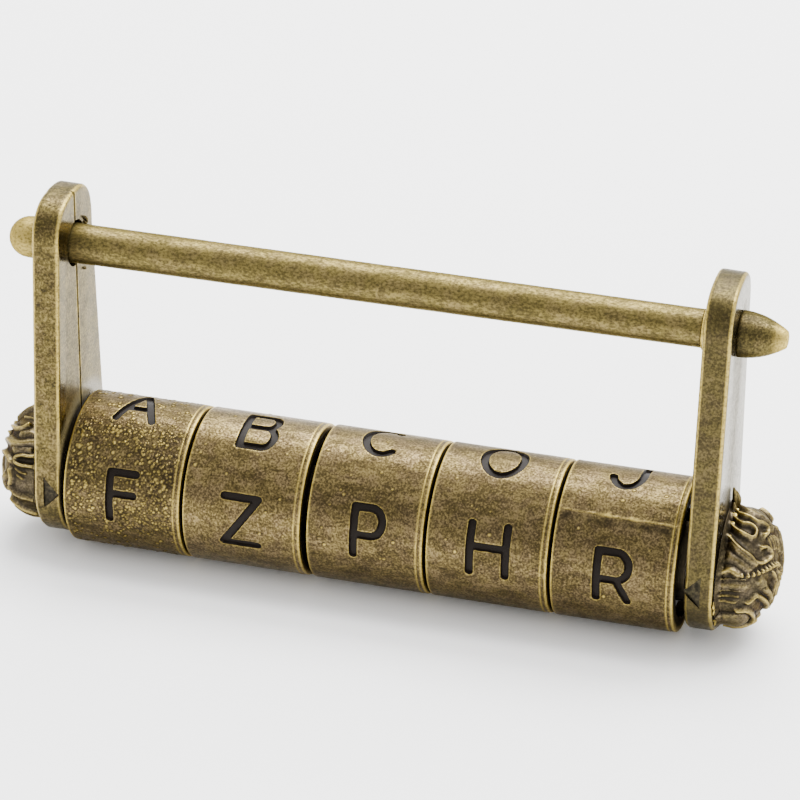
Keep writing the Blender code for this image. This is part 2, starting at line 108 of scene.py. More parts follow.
# The plates' outline, as the CAD has it but with squarer shoulders, the step between points along it, and
# the edges and the seam.
DRUM_DROP = 30.7
DRUM_Z = -DRUM_DROP
TOP_RADIUS = 6.2
TOP_CENTRE = 0.7
TOP_SQUARENESS = 2.7
FOOT_RADIUS = 8.6
OUTLINE_STEP = 0.3
PLATE_THICKNESS = 3.4
EDGE_ROUND = 0.45
SEAM = 0.04
GROOVE_HALF_WIDTH = 0.24
GROOVE_DEPTH = 0.4

# The reading marks: half their height, their depth, and how far their base and tip lie from the plate's
# face beside the rings.
MARK_HALF_HEIGHT = 2.15
MARK_DEPTH = 0.4
LEFT_MARK = (2.15, 0.15)
RIGHT_MARK = (1.95, -0.1)

# Holes, from the CAD: the bar's in the left-hand plate, the stepped pocket for the tube's flange, the rod's
# seat and the stud's hole in the right-hand plate, and the bore for the bar's spigot.
BAR_HOLE = 2.9
FLANGE_POCKET = ((0.8, 6.9), (2.5, 6.9), (2.5, 5.9))
SEAT_DEPTH = 1.5
SEAT_RADIUS = 4.2
STUD_HOLE = 1.6
SPIGOT_BORE = 1.9

# The bar: its head's length and radius, and its radius beside the left-hand plate, with how much thinner
# it is at the other end. Its tip narrows by a share of its radius, slowly at first.
HEAD_LENGTH = 2.6
HEAD_RADIUS = 2.55
BAR_RADIUS = 2.45
BAR_TAPER = 0.15
TIP_SHARE = 0.66
TIP_TAPER = 2.1

# The plates' bronze: dark, middle and bright.
LEFT_PLATE_SHADES = ((0.033, 0.025, 0.0075), (0.078, 0.059, 0.0175), (0.16, 0.122, 0.04))
RIGHT_PLATE_SHADES = ((0.026, 0.02, 0.007), (0.05, 0.039, 0.0125), (0.088, 0.068, 0.023))

# Dents in the right-hand plate's edges: x from its left face, y, z and size.
RIGHT_NICKS = (
    (0.1, -8.3, -31.3, 0.35),
    (0.15, -8.0, -33.9, 0.25),
    (0.2, -8.5, -29.2, 0.2),
    (3.3, -8.1, -28.4, 0.25),
)

# Rings: the grid that they are made on, the band beside the right-hand edge, the wall, and, ring by ring,
# how far the left-hand edge lies back, the number of bumps and the tarnish. Then the turns between which
# the first ring is roughest, and the ring that shows the mould's seam, with its turn.
GRID = 0.12
RIGHT_BAND = 0.75
RING_WALL = 1.9
RING_SET_BACK = (0.0, 0.0, 0.42, 0.0, 0.0)
RING_BUMPS = (1800, 60, 40, 50, 40)
RING_TARNISH = (0.24, 0.0, 0.18, 0.23, 0.27)
ROUGH_PATCH = (-14, 66)
SEAM_RING = 5
SEAM_TURN = 50.7

# The outer surface's stations as (x from the left edge, from the band's edge or from the right edge, depth).
LEFT_EDGE = ((0, 0.18), (0.04, 0.08), (0.1, 0.02), (0.2, 0))
BAND_EDGE = ((-0.07, 0), (-0.02, 0.02), (0.03, 0.07), (0.09, 0.05), (0.17, 0.03), (0.36, 0.035))
RIGHT_EDGE = ((-0.22, 0.05), (-0.12, 0.09), (-0.04, 0.17), (0, 0.28))

# The web inside each ring: its bore, its distance from the right-hand face and its thickness, from the CAD,
# and the width of the notch.
WEB_BORE = 5.8
WEB_INSET = 3.2
WEB_THICKNESS = 3.0
NOTCH_WIDTH = 3.2

# The knobs: how far they lie below the drum's axis, the length and radius of the dome under the ornament,
# the most that ornament stands out, the flange's width and its run along the surface, and the grid.
KNOB_DROP = 0.3
RIGHT_DOME = (6.15, 7.05)
LEFT_DOME = (6.15, 6.75)
KNOB_RELIEF = 0.7
FLANGE = 0.75
FLANGE_RUN = 0.45
KNOB_ROWS = 130
KNOB_COLUMNS = 480

# The height and half width of each kind of ornament line, of the low skirt round a crest and of a roll,
# and how far apart a rope's beads are.
LINE_SIZES = {
    "crest": (0.5, 0.28),
    "ridge": (0.6, 0.5),
    "fine": (0.26, 0.14),
    "swell": (0.4, 0.62),
    "rope": (0.56, 0.34),
}
SKIRT = (0.14, 0.6)
ROLL = (0.62, 1.55)
BEAD = 0.72

# Loose ornament: strands as (distance from the plate's outer face, turn, distance from the drum's axis).
TUFT = (
    ((0.3, 96, 6.2), (0.5, 98, 7.4), (0.45, 97, 8.6), (0.3, 95, 9.7)),
    ((0.55, 99, 6.2), (0.85, 100, 7.3), (0.85, 99, 8.3), (0.55, 97, 9.2)),
    ((0.3, 91, 6.3), (0.55, 92, 7.0), (0.5, 93, 7.9)),
)
FOOT_BURRS = (
    ((0.12, -9, 7.9), (0.2, -13, 8.3), (0.2, -18, 7.9), (0.12, -23, 8.2)),
    ((0.12, -32, 8.2), (0.2, -38, 7.8), (0.12, -44, 8.2)),
)

# Burrs on the left-hand plate beside the bar: strands as (distance from its inner face, y, z). Then the
# number of sides that a strand has.
STAKE_MARKS = (
    ((0.03, 2.3, 2.5), (0.15, 3.0, 2.1), (0.15, 3.6, 1.5), (0.03, 3.9, 0.8)),
    ((0.03, 2.9, 1.6), (0.12, 3.2, 1.2), (0.03, 3.3, 0.6)),
    ((0.03, 2.1, -4.3), (0.12, 2.5, -4.6), (0.03, 2.9, -4.6)),
)
STRAND_SIDES = 10

# The light, in metres and watts, the world's strength, and the floor's half width in millimetres.
LIGHT_PLACE = (0.1, 0.33, 0.68)
LIGHT_TARGET = (0, 0, -0.02)
LIGHT_SIZE = (0.9, 0.7)
LIGHT_POWER = 25
WORLD_STRENGTH = 2.8
FLOOR_REACH = 3000


def smooth_step(low, high, value):
    t = np.clip((value - low) / (high - low), 0, 1)
    return t * t * (3 - 2 * t)


def bell(value, width):
    return np.exp(-((value / width) ** 2))


def lattice_noise(points, size, seed):
    """Smooth noise from -1 to 1 at points given as (..., 3), with features about this size."""
    cell = np.floor(points / size).astype(np.int64)
    part = points / size - cell
    part = part * part * (3 - 2 * part)
    total = np.zeros(points.shape[:-1])
    for corner in np.ndindex(2, 2, 2):
        key = (cell + corner) @ np.array([73856093, 19349663, 83492791]) + seed * 2654435761
        key = (key ^ (key >> 13)) * 1274126177
        value = ((key ^ (key >> 16)) & 0xFFFFF) / 0xFFFFF * 2 - 1
        total += value * np.prod(np.where(corner, part, 1 - part), axis=-1)
    return total


def node_box(node):
    """A CAD node's lowest and highest corners in millimetres."""
    low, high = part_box(node)
    return np.array(low) / MM, np.array(high) / MM


def placed(name, data):
    """A new object with this data, in the scene."""
    obj = bpy.data.objects.new(name, data)
    bpy.context.scene.collection.objects.link(obj)
    return obj


def mesh_object(name, points, faces, materials, attributes=None, sharp=40):
    """A mesh from points in millimetres. attributes are floats, one for each point."""
    mesh = bpy.data.meshes.new(name)
    mesh.from_pydata(np.asarray(points) * MM, [], faces)
    for key, values in (attributes or {}).items():
        layer = mesh.attributes.new(key, "FLOAT", "POINT")
        layer.data.foreach_set("value", np.asarray(values, np.float32).ravel())
    mesh.shade_smooth()
    mesh.set_sharp_from_angle(angle=math.radians(sharp))
    for material in materials:
        mesh.materials.append(material)
    return placed(name, mesh)


def show(obj, body, slot, *nodes):
    """Places a piece: its body and the CAD nodes that it stands for. slot is not used."""
    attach(obj, body)
    if nodes:
        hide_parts(*nodes)


def grid_faces(rows, columns, close_rows=False):
    """Quads of a grid whose columns join up, and whose rows do too if asked."""
    row = np.arange(rows if close_rows else rows - 1)[:, None]
    column = np.arange(columns)[None, :]
    next_row, next_column = (row + 1) % rows, (column + 1) % columns
    corners = ((row, column), (row, next_column), (next_row, next_column), (next_row, column))
    return np.stack([r * columns + c for r, c in corners], axis=-1).reshape(-1, 4).tolist()


def repeated(values, columns):
    """(n, 2) values as two grids with this many equal columns."""
    return (np.repeat(values[:, [k]], columns, axis=1) for k in (0, 1))


def round_axis(x, turn, reach, axis_z):
    """Points at these turns and distances from a line along X at this height."""
    return np.stack([x, -reach * np.cos(turn), reach * np.sin(turn) + axis_z], axis=-1)


# Materials.


class Graph:
    """The node tree of a material or of the world. Most calls add a node and give what comes out of it."""

    def __init__(self, material, shader="Principled BSDF"):
        material.use_nodes = True
        self.material = material
        self.tree = material.node_tree
        self.shader = self.tree.nodes[shader]
        self.place = self.tree.nodes.new("ShaderNodeTexCoord").outputs["Object"]

    def feed(self, socket, value):
        if isinstance(value, bpy.types.NodeSocket):
            self.tree.links.new(value, socket)
        else:
            socket.default_value = value

    def give(self, name, value):
        """Sets or links one of the shader's inputs."""
        self.feed(self.shader.inputs[name], value)

    def given(self, name):
        """What one of the shader's inputs is linked to."""
        return self.shader.inputs[name].links[0].from_socket

    def node(self, kind, inputs, **settings):
        made = self.tree.nodes.new(kind)
        for key, value in settings.items():
            setattr(made, key, value)
        for key, value in inputs.items():
            self.feed(made.inputs[key], value)
        return made

    def scaled(self, size, stretch=(1, 1, 1), shift=0.0):
        """The place on the object, in units of this many millimetres."""
        scale = [1 / (size * MM * s) for s in stretch]
        inputs = {"Vector": self.place, "Scale": scale, "Location": [shift] * 3}
        return self.node("ShaderNodeMapping", inputs).outputs["Vector"]

    def noise(self, size, detail=2.0, roughness=0.55, stretch=(1, 1, 1), shift=0.0):
        """Noise with features about this many millimetres across."""
        inputs = {"Vector": self.scaled(size, stretch, shift), "Scale": 1.0}
        inputs |= {"Detail": detail, "Roughness": roughness}
        return self.node("ShaderNodeTexNoise", inputs).outputs["Fac"]

    def grains(self, size):
        """The distance from the nearest of many strewn grains, about this many millimetres apart."""
        inputs = {"Vector": self.scaled(size), "Scale": 1.0}
        return self.node("ShaderNodeTexVoronoi", inputs).outputs["Distance"]

    def math(self, operation, a, b=0.0):
        return self.node("ShaderNodeMath", {0: a, 1: b}, operation=operation).outputs["Value"]

    def plus(self, a, b):
        return self.math("ADD", a, b)

    def times(self, a, b):
        return self.math("MULTIPLY", a, b)

    def most(self, a, b):
        return self.math("MAXIMUM", a, b)

    def spread(self, value, low, high, to_low=0.0, to_high=1.0):
        """value mapped from low..high to to_low..to_high, smoothly and held at the ends."""
        inputs = {"Value": value, "From Min": low, "From Max": high, "To Min": to_low, "To Max": to_high}
        return self.node("ShaderNodeMapRange", inputs, interpolation_type="SMOOTHSTEP").outputs["Result"]

    def ramp(self, value, stops):
        made = self.node("ShaderNodeValToRGB", {"Fac": value})
        elements = made.color_ramp.elements
        while len(elements) < len(stops):
            elements.new(0.5)
        for element, (position, colour) in zip(elements, stops):
            element.position = position
            element.color = (*colour, 1.0)
        return made.outputs["Color"]

    def mix(self, factor, a, b):
        a, b = (v if isinstance(v, bpy.types.NodeSocket) else (*v, 1.0) for v in (a, b))
        return self.node("ShaderNodeMix", {0: factor, 6: a, 7: b}, data_type="RGBA").outputs[2]

    def attribute(self, name):
        return self.node("ShaderNodeAttribute", {}, attribute_name=name).outputs["Fac"]

    def bump(self, height, depth):
        """Bumps of this many millimetres, on top of those that the shader already has."""
        made = self.node("ShaderNodeBump", {"Height": height, "Distance": depth * MM})
        normal = self.shader.inputs["Normal"]
        if normal.is_linked:
            self.feed(made.inputs["Normal"], normal.links[0].from_socket)
        self.feed(normal, made.outputs["Normal"])


def tinted(colour, tint):
    return tuple(a * b for a, b in zip(colour, tint))


def bronze(name, shades, grain=0.26, patch=3.2, drawn=1, rough=(0.3, 0.42), depth=0.012, edge=(1, 1, 1)):
    """Aged bronze: bright specks on darker ground, soft clouds, pale worn edges, pits, and dirt and painted
    shade where the mesh marks them.
    """
    g = Graph(bpy.data.materials.new(name))
    fine = g.noise(grain, roughness=0.65, stretch=(drawn, 1, 1))
    streaks = g.noise(grain * 3.2, detail=1.0, stretch=(3 * drawn, 1, 1), shift=31.0)
    cloud = g.noise(patch, stretch=(1.6 * drawn, 1, 1), shift=57.0)
    level = g.plus(g.times(fine, 0.64), g.times(streaks, 0.22))
    level = g.spread(g.plus(level, g.times(cloud, 0.16)), 0.35, 0.68)
    stops = list(zip((0.0, 0.5, 1.0), shades))
    rosy = g.ramp(level, [(place, tinted(colour, ROSY)) for place, colour in stops])
    colour = g.mix(g.spread(g.noise(1.9, shift=91.0), 0.42, 0.62), g.ramp(level, stops), rosy)
    pits = g.spread(g.noise(0.42, detail=1.0, shift=83.0), 0.6, 0.69)
    dirt_and_shade = g.most(g.attribute("grime_and_shade"), g.times(pits, g.attribute("pits")))
    wear = g.times(g.attribute("wear"), g.spread(fine, 0.3, 0.55, 0.45, 1.0))
    g.give("Base Color", g.mix(wear, g.mix(dirt_and_shade, colour, GRIME_AND_SHADE), WORN))
    g.give("Specular Tint", g.mix(dirt_and_shade, edge, DIRT_AND_SHADE_EDGE))
    g.give("Metallic", 1.0)
    g.give("Coat Weight", 0.08)
    g.give("Coat Roughness", 0.35)
    polish = g.spread(level, 0.0, 1.0, rough[1], rough[0])
    g.give("Roughness", g.plus(polish, g.times(dirt_and_shade, 0.2)))
    g.bump(g.plus(fine, streaks), depth)
    return g


def engraved_bronze():
    """The rings' bronze, with the rough casting's crust and the dark lacquer in the letters."""
    shades = ((0.034, 0.025, 0.0095), (0.094, 0.069, 0.0265), (0.222, 0.165, 0.065))
    g = bronze("engraved_bronze", shades, edge=(0.92, 0.88, 0.81))
    painted = g.spread(g.attribute("paint"), 0.45, 0.55)
    crust = g.times(g.attribute("crust"), g.spread(g.noise(1.3, shift=7.0), 0.42, 0.58, 0.15, 1.0))
    away = g.grains(0.4)
    grains = g.times(g.spread(away, 0.46, 0.12), crust)
    gaps = g.times(g.spread(away, 0.42, 0.66), crust)
    base = g.mix(g.times(crust, 0.18), g.given("Base Color"), GRIME_AND_SHADE)
    base = g.mix(g.times(gaps, 0.6), base, GRIME_AND_SHADE)
    base = g.mix(g.times(grains, 0.3), base, WORN)
    g.bump(grains, 0.09)
    g.give("Base Color", g.mix(painted, base, LACQUER))
    g.give("Metallic", g.spread(painted, 0.0, 1.0, 1.0, 0.0))
    roughness = g.given("Roughness")
    dull = g.times(g.math("SUBTRACT", 0.5, roughness), painted)
    g.give("Roughness", g.plus(roughness, dull))
    g.give("Coat Weight", 0.0)
    g.give("Specular IOR Level", 0.14)
    return g.material


def plate_bronze(name, shades, seam, inner_x):
    """The plates' bronze: smooth on the flat faces, beside the rings an olive painted reflection of the ring
    and then black painted shade, and black with a bright rim along a seam.
    """
    g = bronze(name, shades, grain=0.3, patch=2.2, edge=(0.78, 0.76, 0.7))
    x, y, z = g.node("ShaderNodeSeparateXYZ", {"Vector": g.place}).outputs
    from_face = g.math("ABSOLUTE", g.math("SUBTRACT", x, inner_x * MM))
    below = g.plus(z, DRUM_DROP * MM)
    from_axis = g.math("SQRT", g.plus(g.math("POWER", y, 2.0), g.math("POWER", below, 2.0)))
    beside = g.spread(from_face, 0.3 * MM, 0.05 * MM)
    # Beside the rings: an olive painted reflection of the ring, less metallic (dull), and nearer the ring
    # black painted shade.
    dull = g.times(g.spread(from_axis, 11.6 * MM, 9.8 * MM, 0.0, 0.7), beside)
    ring_shade_and_seam = g.times(g.spread(from_axis, 9.2 * MM, 8.4 * MM, 0.0, 0.85), beside)
    outer = g.spread(from_face, (PLATE_THICKNESS - 0.3) * MM, (PLATE_THICKNESS - 0.05) * MM)
    along_seam = g.times(g.most(beside, outer), seam)
    from_seam = g.math("ABSOLUTE", y)
    rim = g.times(g.spread(from_seam, 0.55 * MM, 0.36 * MM), along_seam)
    rim = g.times(rim, g.spread(g.noise(0.9, shift=13.0), 0.4, 0.6, 0.1, 0.6))
    ring_shade_and_seam = g.most(ring_shade_and_seam, g.times(g.spread(from_seam, 0.32 * MM, 0.26 * MM), along_seam))
    g.give("Specular Tint", g.mix(ring_shade_and_seam, g.given("Specular Tint"), DIRT_AND_SHADE_EDGE))
    base = g.mix(rim, g.mix(dull, g.given("Base Color"), RING_REFLECTION_OLIVE), WORN)
    g.give("Base Color", g.mix(ring_shade_and_seam, base, GRIME_AND_SHADE))
    g.give("Metallic", g.math("SUBTRACT", 1.0, dull))
    g.give("Roughness", g.plus(g.given("Roughness"), g.spread(g.attribute("flat"), 0.0, 1.0, 0.0, -0.17)))
    return g.material


def mark_paint():
    """The dirt in the reading marks."""
    shades = ((0.007, 0.006, 0.003), (0.019, 0.016, 0.008), (0.042, 0.035, 0.017))
    return bronze("mark_dirt", shades, grain=0.4).material


def bar_bronze(name="bar_bronze", drawn=1.5, lightness=1.0):
    """The bar's bronze, drawn out along X."""
    shades = ((0.038, 0.03, 0.009), (0.086, 0.067, 0.021), (0.168, 0.131, 0.042))
    shades = [tinted(shade, [lightness] * 3) for shade in shades]
    finish = {"rough": (0.36, 0.5), "depth": 0.007, "edge": (0.68, 0.63, 0.46)}
    return bronze(name, shades, grain=0.27, patch=2.0, drawn=drawn, **finish).material


def knob_bronze():
    shades = ((0.032, 0.025, 0.012), (0.07, 0.055, 0.027), (0.145, 0.114, 0.056))
    finish = {"rough": (0.28, 0.4), "edge": (0.66, 0.61, 0.5)}
    return bronze("knob_bronze", shades, grain=0.24, patch=1.4, **finish).material


def bright_metal(name, dark, bright, along, rough):
    """Turned or drawn metal inside the lock, with fine lines across the given directions."""
    g = Graph(bpy.data.materials.new(name))
    lines = g.noise(0.12, stretch=along)
    cloud = g.noise(2.5, shift=17.0)
    level = g.spread(g.plus(g.times(lines, 0.5), g.times(cloud, 0.5)), 0.35, 0.65)
    g.give("Base Color", g.ramp(level, ((0.0, dark), (1.0, bright))))
    g.give("Metallic", 1.0)
    g.give("Roughness", g.spread(cloud, 0.3, 0.7, rough, rough + 0.12))
    g.bump(lines, 0.004)
    return g.material


# Letters.


def arc(centre, reach, first, last, steps=12):
    """Points on an ellipse's arc. Angles are in degrees, counted from +x."""
    turns = np.radians(np.linspace(first, last, steps + 1))
    return [(centre[0] + reach[0] * math.cos(t), centre[1] + reach[1] * math.sin(t)) for t in turns]


def letter_lines(letter):
    """The middle lines of a letter's strokes, from -1 to 1 across and up."""
    stem = [(-1, -1), (-1, 1)]
    bowl = [(-1, 1), *arc((0.2, 0.44), (0.8, 0.56), 90, -90), (-1, -0.12)]
    lines = {
        "A": [[(-1, -1), (0, 1), (1, -1)], [(-0.62, -0.32), (0.62, -0.32)]],
        "B": [
            stem,
            [(-1, 1), *arc((0.3, 0.53), (0.55, 0.47), 90, -90), (-1, 0.06)],
            [(0.3, 0.06), *arc((0.4, -0.47), (0.6, 0.53), 90, -90), (-1, -1)],
        ],
        "C": [arc((0.05, 0), (1.05, 1), 52, 308, 24)],
        "E": [[(1, 1), (-1, 1), (-1, -1), (1, -1)], [(-1, 0.05), (0.7, 0.05)]],
        "F": [[(1, 1), (-1, 1), (-1, -1)], [(-1, 0.13), (0.9, 0.13)]],
        "H": [stem, [(1, -1), (1, 1)], [(-1, 0.12), (1, 0.12)]],
        "J": [[(1, 1), (1, -0.2), *arc((0, -0.2), (1, 0.8), 0, -165, 14)]],
        "K": [stem, [(1, 1), (-1, -0.1)], [(-0.3, 0.28), (1, -1)]],
        "L": [[(-1, 1), (-1, -1), (1, -1)]],
        "M": [[(-1, -1), (-1, 1), (0, -0.3), (1, 1), (1, -1)]],
        "N": [[(-1, -1), (-1, 1), (1, -1), (1, 1)]],
        "O": [arc((0, 0), (1, 1), 0, 360, 32)],
        "P": [stem, bowl],
        "R": [stem, bowl, [(0.25, -0.12), (1, -1)]],
        "T": [[(-1, 1), (1, 1)], [(0, 1), (0, -1)]],
        "U": [[(-1, 1), (-1, -0.2), *arc((0, -0.2), (1, 0.8), 180, 360, 16), (1, 1)]],
        "V": [[(-1, 1), (0, -1), (1, 1)]],
        "X": [[(-1, 1), (1, -1)], [(-1, -1), (1, 1)]],
        "Y": [[(-1, 1), (0, 0), (1, 1)], [(0, 0), (0, -1)]],
        "Z": [[(-1, 1), (1, 1), (-1, -1), (1, -1)]],
    }
    scale = np.array([LETTER_HALF_WIDTH[letter], LETTER_HALF_HEIGHT])
    return [np.array(line) * scale for line in lines[letter]]


def nearest_on_lines(points, lines):
    """The nearest place on any of the lines, its distance, and how far along its line it is."""
    best = np.full(len(points), np.inf)
    along = np.zeros(len(points))
    nearest = np.zeros_like(points)
    for line in lines:
        run = 0.0
        for start, end in zip(line, line[1:]):
            step = end - start
            length = np.linalg.norm(step)
            t = np.clip((points - start) @ step / length**2, 0, 1)
            foot = start + t[:, None] * step
            distance = np.linalg.norm(points - foot, axis=1)
            closer = distance < best
            best[closer] = distance[closer]
            nearest[closer] = foot[closer]
            along[closer] = run + t[closer] * length
            run += length
    return nearest, best, along


def engrave(x, s, radius, letters, seed):
    """Moves grid points onto the letters' outlines.

    x and s are the grid's places across and round the ring. It gives the moved x and s, and each point's
    distance to the nearest outline, negative inside a stroke.
    """
    edge = np.full(x.shape, 9.0)
    x, s = x.copy(), s.copy()
    around = 2 * math.pi * radius
    for letter, turn, shift in letters:
        up = (s - math.radians(turn) * radius + around / 2) % around - around / 2
        local = np.stack([x - shift, up], axis=-1)
        near = (np.abs(local[..., 0]) < 4.2) & (np.abs(up) < 5.2)
        points = local[near]
        foot, distance, _ = nearest_on_lines(points, letter_lines(letter))
        wobble = lattice_noise(np.column_stack([points, np.full(len(points), seed)]), 0.55, seed)
        signed = distance - STROKE - 0.035 * wobble
        target = signed.copy()
        target[np.abs(signed) < GRID / 2] = 0
        wall = (signed <= -GRID / 2) & (signed > -1.5 * GRID)
        target[wall] = -GRID
        away = (points - foot) / np.maximum(distance, 1e-6)[:, None]
        moved = points + away * (target - signed)[:, None]
        x[near] += moved[:, 0] - points[:, 0]
        s[near] += moved[:, 1] - points[:, 1]
        edge[near] = np.minimum(edge[near], target)
    return x, s, edge


# Rings.


def ring_stations(start, half, radius, grid):
    """(x, radius) stations round a ring's section, the outer surface first, and how many that is."""
    band = half - RIGHT_BAND
    bore = radius - RING_WALL
    outer = [(start + x, radius - depth) for x, depth in LEFT_EDGE]
    outer += [(x, radius) for x in np.arange(start + 0.32, band - 0.14, grid)]
    outer += [(band + x, radius - depth) for x, depth in BAND_EDGE]
    outer += [(half + x, radius - depth) for x, depth in RIGHT_EDGE]
    inner = [(half, radius - 0.9), (half, bore + 0.12), (half - 0.12, bore), (half - 3.0, bore), (0.0, bore)]
    inner += [(start + 3.0, bore), (start + 0.12, bore), (start, bore + 0.12), (start, radius - 0.9)]
    return np.array(outer + inner), len(outer)


def casting_bumps(x, s, around, count, seed):
    """Small round casting bumps strewn over the (x, s) grid, close together on the rough patch.

    It gives their height and, from 0 to 1, how much painted shade lies round them: a dark ring round each
    bump that stands in for its shaded sides.
    """
    random = np.random.default_rng(seed)
    height = np.zeros(x.shape)
    dirt_and_shade = np.zeros(x.shape)
    low, width = x.min(), x.max() - x.min()
    for _ in range(count):
        centre_s, centre_x = random.uniform(0, around), low + width * random.uniform(0.03, 0.93)
        size = random.uniform(0.08, 0.12) * random.uniform(0.8, 1.45)
        turn = (360 * centre_s / around + 180) % 360 - 180
        if random.uniform() > (1.0 if ROUGH_PATCH[0] < turn < ROUGH_PATCH[1] else 0.3):
            continue
        near = np.abs(x - centre_x) < 4 * size
        gap_s = (s[near] - centre_s + around / 2) % around - around / 2
        away = np.hypot(x[near] - centre_x, gap_s) / size
        height[near] = np.maximum(height[near], 1.25 * size * bell(away, 1))
        # Painted shade: a dark ring round each bump, standing in for its shaded sides.
        dirt_and_shade[near] = np.maximum(dirt_and_shade[near], 0.85 * bell(away - 1.7, 0.6))
    return height, dirt_and_shade


def crusting(turn, surface, clear):
    """How rough the casting is, from 0 to 1, at turns in degrees on the first ring."""
    first, last = ROUGH_PATCH
    inside = smooth_step(first - 16, first, turn) * smooth_step(last + 8, last, turn)
    patchy = 0.75 + 0.45 * lattice_noise(surface, 2.2, 71)
    return np.clip((0.15 + 0.85 * inside) * patchy * clear, 0, 1)


def mould_seam(x, turn, seed):
    """The raised line that the mould left along one ring: its height, and how much darker the ring is just
    below it.
    """
    samples = np.stack([x, np.zeros(x.shape), np.zeros(x.shape)], axis=-1)
    ragged = lattice_noise(samples, 0.7, seed)
    crumbs = lattice_noise(samples, 0.3, seed + 1)
    lean = 0.09 * x
    lumps = 0.8 * np.exp(-(((x + 1.3) / 0.9) ** 4)) + 0.7 * np.exp(-(((x - 1.8) / 0.8) ** 4))
    gap = turn - SEAM_TURN + lean - (0.25 * ragged + 0.5 * crumbs * lumps)
    width = 0.5 + lumps * (0.55 + 0.5 * crumbs)
    height = (0.07 + 0.03 * ragged + 0.1 * lumps * (1 + crumbs)) * bell(gap, width)
    return height, np.clip(0.5 * bell(gap + 4.5, 3.4) * (0.8 + 0.4 * ragged), 0, 1)


def rim_wear(x, start, half):
    """Bright lines along a ring's edges and along the groove beside its right-hand band."""
    groove = bell(x - half + RIGHT_BAND + 0.06, 0.1)
    edges = 1.1 * bell(x - start - 0.1, 0.12) + 1.1 * bell(x - half + 0.14, 0.13)
    return np.clip(edges + 0.7 * groove, 0, 1)


def ring_surface(number, x, s, edge, radius, start, half):
    """How far a ring's outer surface stands out at each place on its grid, and the attributes there."""
    turn = s / radius
    degrees = (np.degrees(turn) + 180) % 360 - 180
    surface = round_axis(x, turn, radius, 0)
    height, dirt_and_shade = casting_bumps(x, s, 2 * math.pi * radius, RING_BUMPS[number - 1], 100 + number)
    if number == SEAM_RING:
        seam, below_seam_darkening = mould_seam(x, degrees, number)
        height, dirt_and_shade = np.maximum(height, seam), np.maximum(dirt_and_shade, below_seam_darkening)
    inside = smooth_step(0.2, 0.9, np.minimum(x - start, half - x))
    clear = smooth_step(0.02, 0.16, edge) * inside
    relief = height * clear
    dents = 0.01 * lattice_noise(surface, 2.6, number) + 0.006 * lattice_noise(surface, 0.7, number + 9)
    engraved = edge < -GRID / 2
    rise = (dents - 0.012) * inside + relief
    rise -= np.where(engraved, LETTER_DEPTH, 0.03 * np.exp(-np.maximum(edge, 0) / 0.06))
    patchy = 0.5 + 0.5 * lattice_noise(surface, 0.9, number + 20)
    lip = 0.75 * bell(edge.clip(0), 0.07) * (edge > -GRID / 2) * patchy
    rim = rim_wear(x, start, half) * (0.7 + 0.3 * patchy)
    wear = np.clip(np.maximum.reduce([lip, rim, np.minimum(relief * 5, 0.7)]), 0, 1)
    tarnish = RING_TARNISH[number - 1] * (0.7 + 0.6 * patchy)
    # The painted shade round the bumps, the darker band below the seam and the ring's tarnish, less on the
    # bumps themselves.
    grime_and_shade = np.clip(dirt_and_shade * clear + tarnish - relief * 12, 0, 0.85)
    paint = np.where(engraved, 1.0, np.where(edge < GRID / 4, 0.5, 0.0))
    crust = crusting(degrees, surface, clear) * (number == 1)
    return rise, {"wear": wear, "grime_and_shade": grime_and_shade, "paint": paint, "crust": crust, "pits": 0.2 * (1 - paint)}


def add_ring(number, material):
    node = f"letter_ring_{number}"
    low, high = node_box(node)
    middle_x, _, axis_z = (high + low) / 2
    half, _, radius = (high - low) / 2
    start = RING_SET_BACK[number - 1] - half
    grid = 0.85 * GRID if number == 1 else GRID
    stations, outer = ring_stations(start, half, radius - 0.03, grid)
    around = 2 * math.pi * radius
    columns = round(around / grid)
    x, r = repeated(stations, columns)
    s = np.tile(np.arange(columns) * around / columns, (len(stations), 1))
    x[:outer], s[:outer], edge = engrave(x[:outer], s[:outer], radius, RING_LETTERS[number - 1], number)
    rise, shown = ring_surface(number, x[:outer], s[:outer], edge, radius, start, half)
    r[:outer] = np.minimum(r[:outer] + rise, radius)
    # The bore and the faces between the rings are made dark.
    hidden = {"wear": 0, "grime_and_shade": 0.85, "paint": 0, "crust": 0, "pits": 0.2}
    rest = ((0, len(stations) - outer), (0, 0))
    attributes = {key: np.pad(shown[key], rest, constant_values=value) for key, value in hidden.items()}
    points = round_axis(x + middle_x, s / radius, r, axis_z).reshape(-1, 3)
    faces = grid_faces(len(stations), columns, close_rows=True)
    obj = mesh_object(f"engraved_ring_{number}", points, faces, [material], attributes, sharp=38)
    show(obj, f"ring_{number}", "ring_bronze", node)
    add_web(number, high[0], radius - RING_WALL + 0.05, axis_z, material)


def add_web(number, ring_end, reach, axis_z, material):
    """The notched disc inside a ring that slides along the tube and lets the tooth past."""
    right = ring_end - WEB_INSET
    left = right - WEB_THICKNESS
    profile = [(left, WEB_BORE - 1), (left, reach), (right, reach), (right, WEB_BORE - 1)]
    web = turned(f"ring_web_{number}", profile, axis_z, [material], 96, attributes={"grime_and_shade": [0.35] * 4})
    bore = bore_tool(left - 1, right + 1, WEB_BORE, axis_z, 96)
    half = NOTCH_WIDTH / 2
    corners = [(-half, axis_z), (half, axis_z), (half, axis_z + reach + 1), (-half, axis_z + reach + 1)]
    cut(web, bore, prism_tool(corners, left - 1, right + 1, axis=0))
    show(web, f"ring_{number}", "ring_bronze")


def add_rings():
    material = engraved_bronze()
    for number in range(1, len(RING_LETTERS) + 1):
        add_ring(number, material)


# Plates, bar and the pieces on the bar.


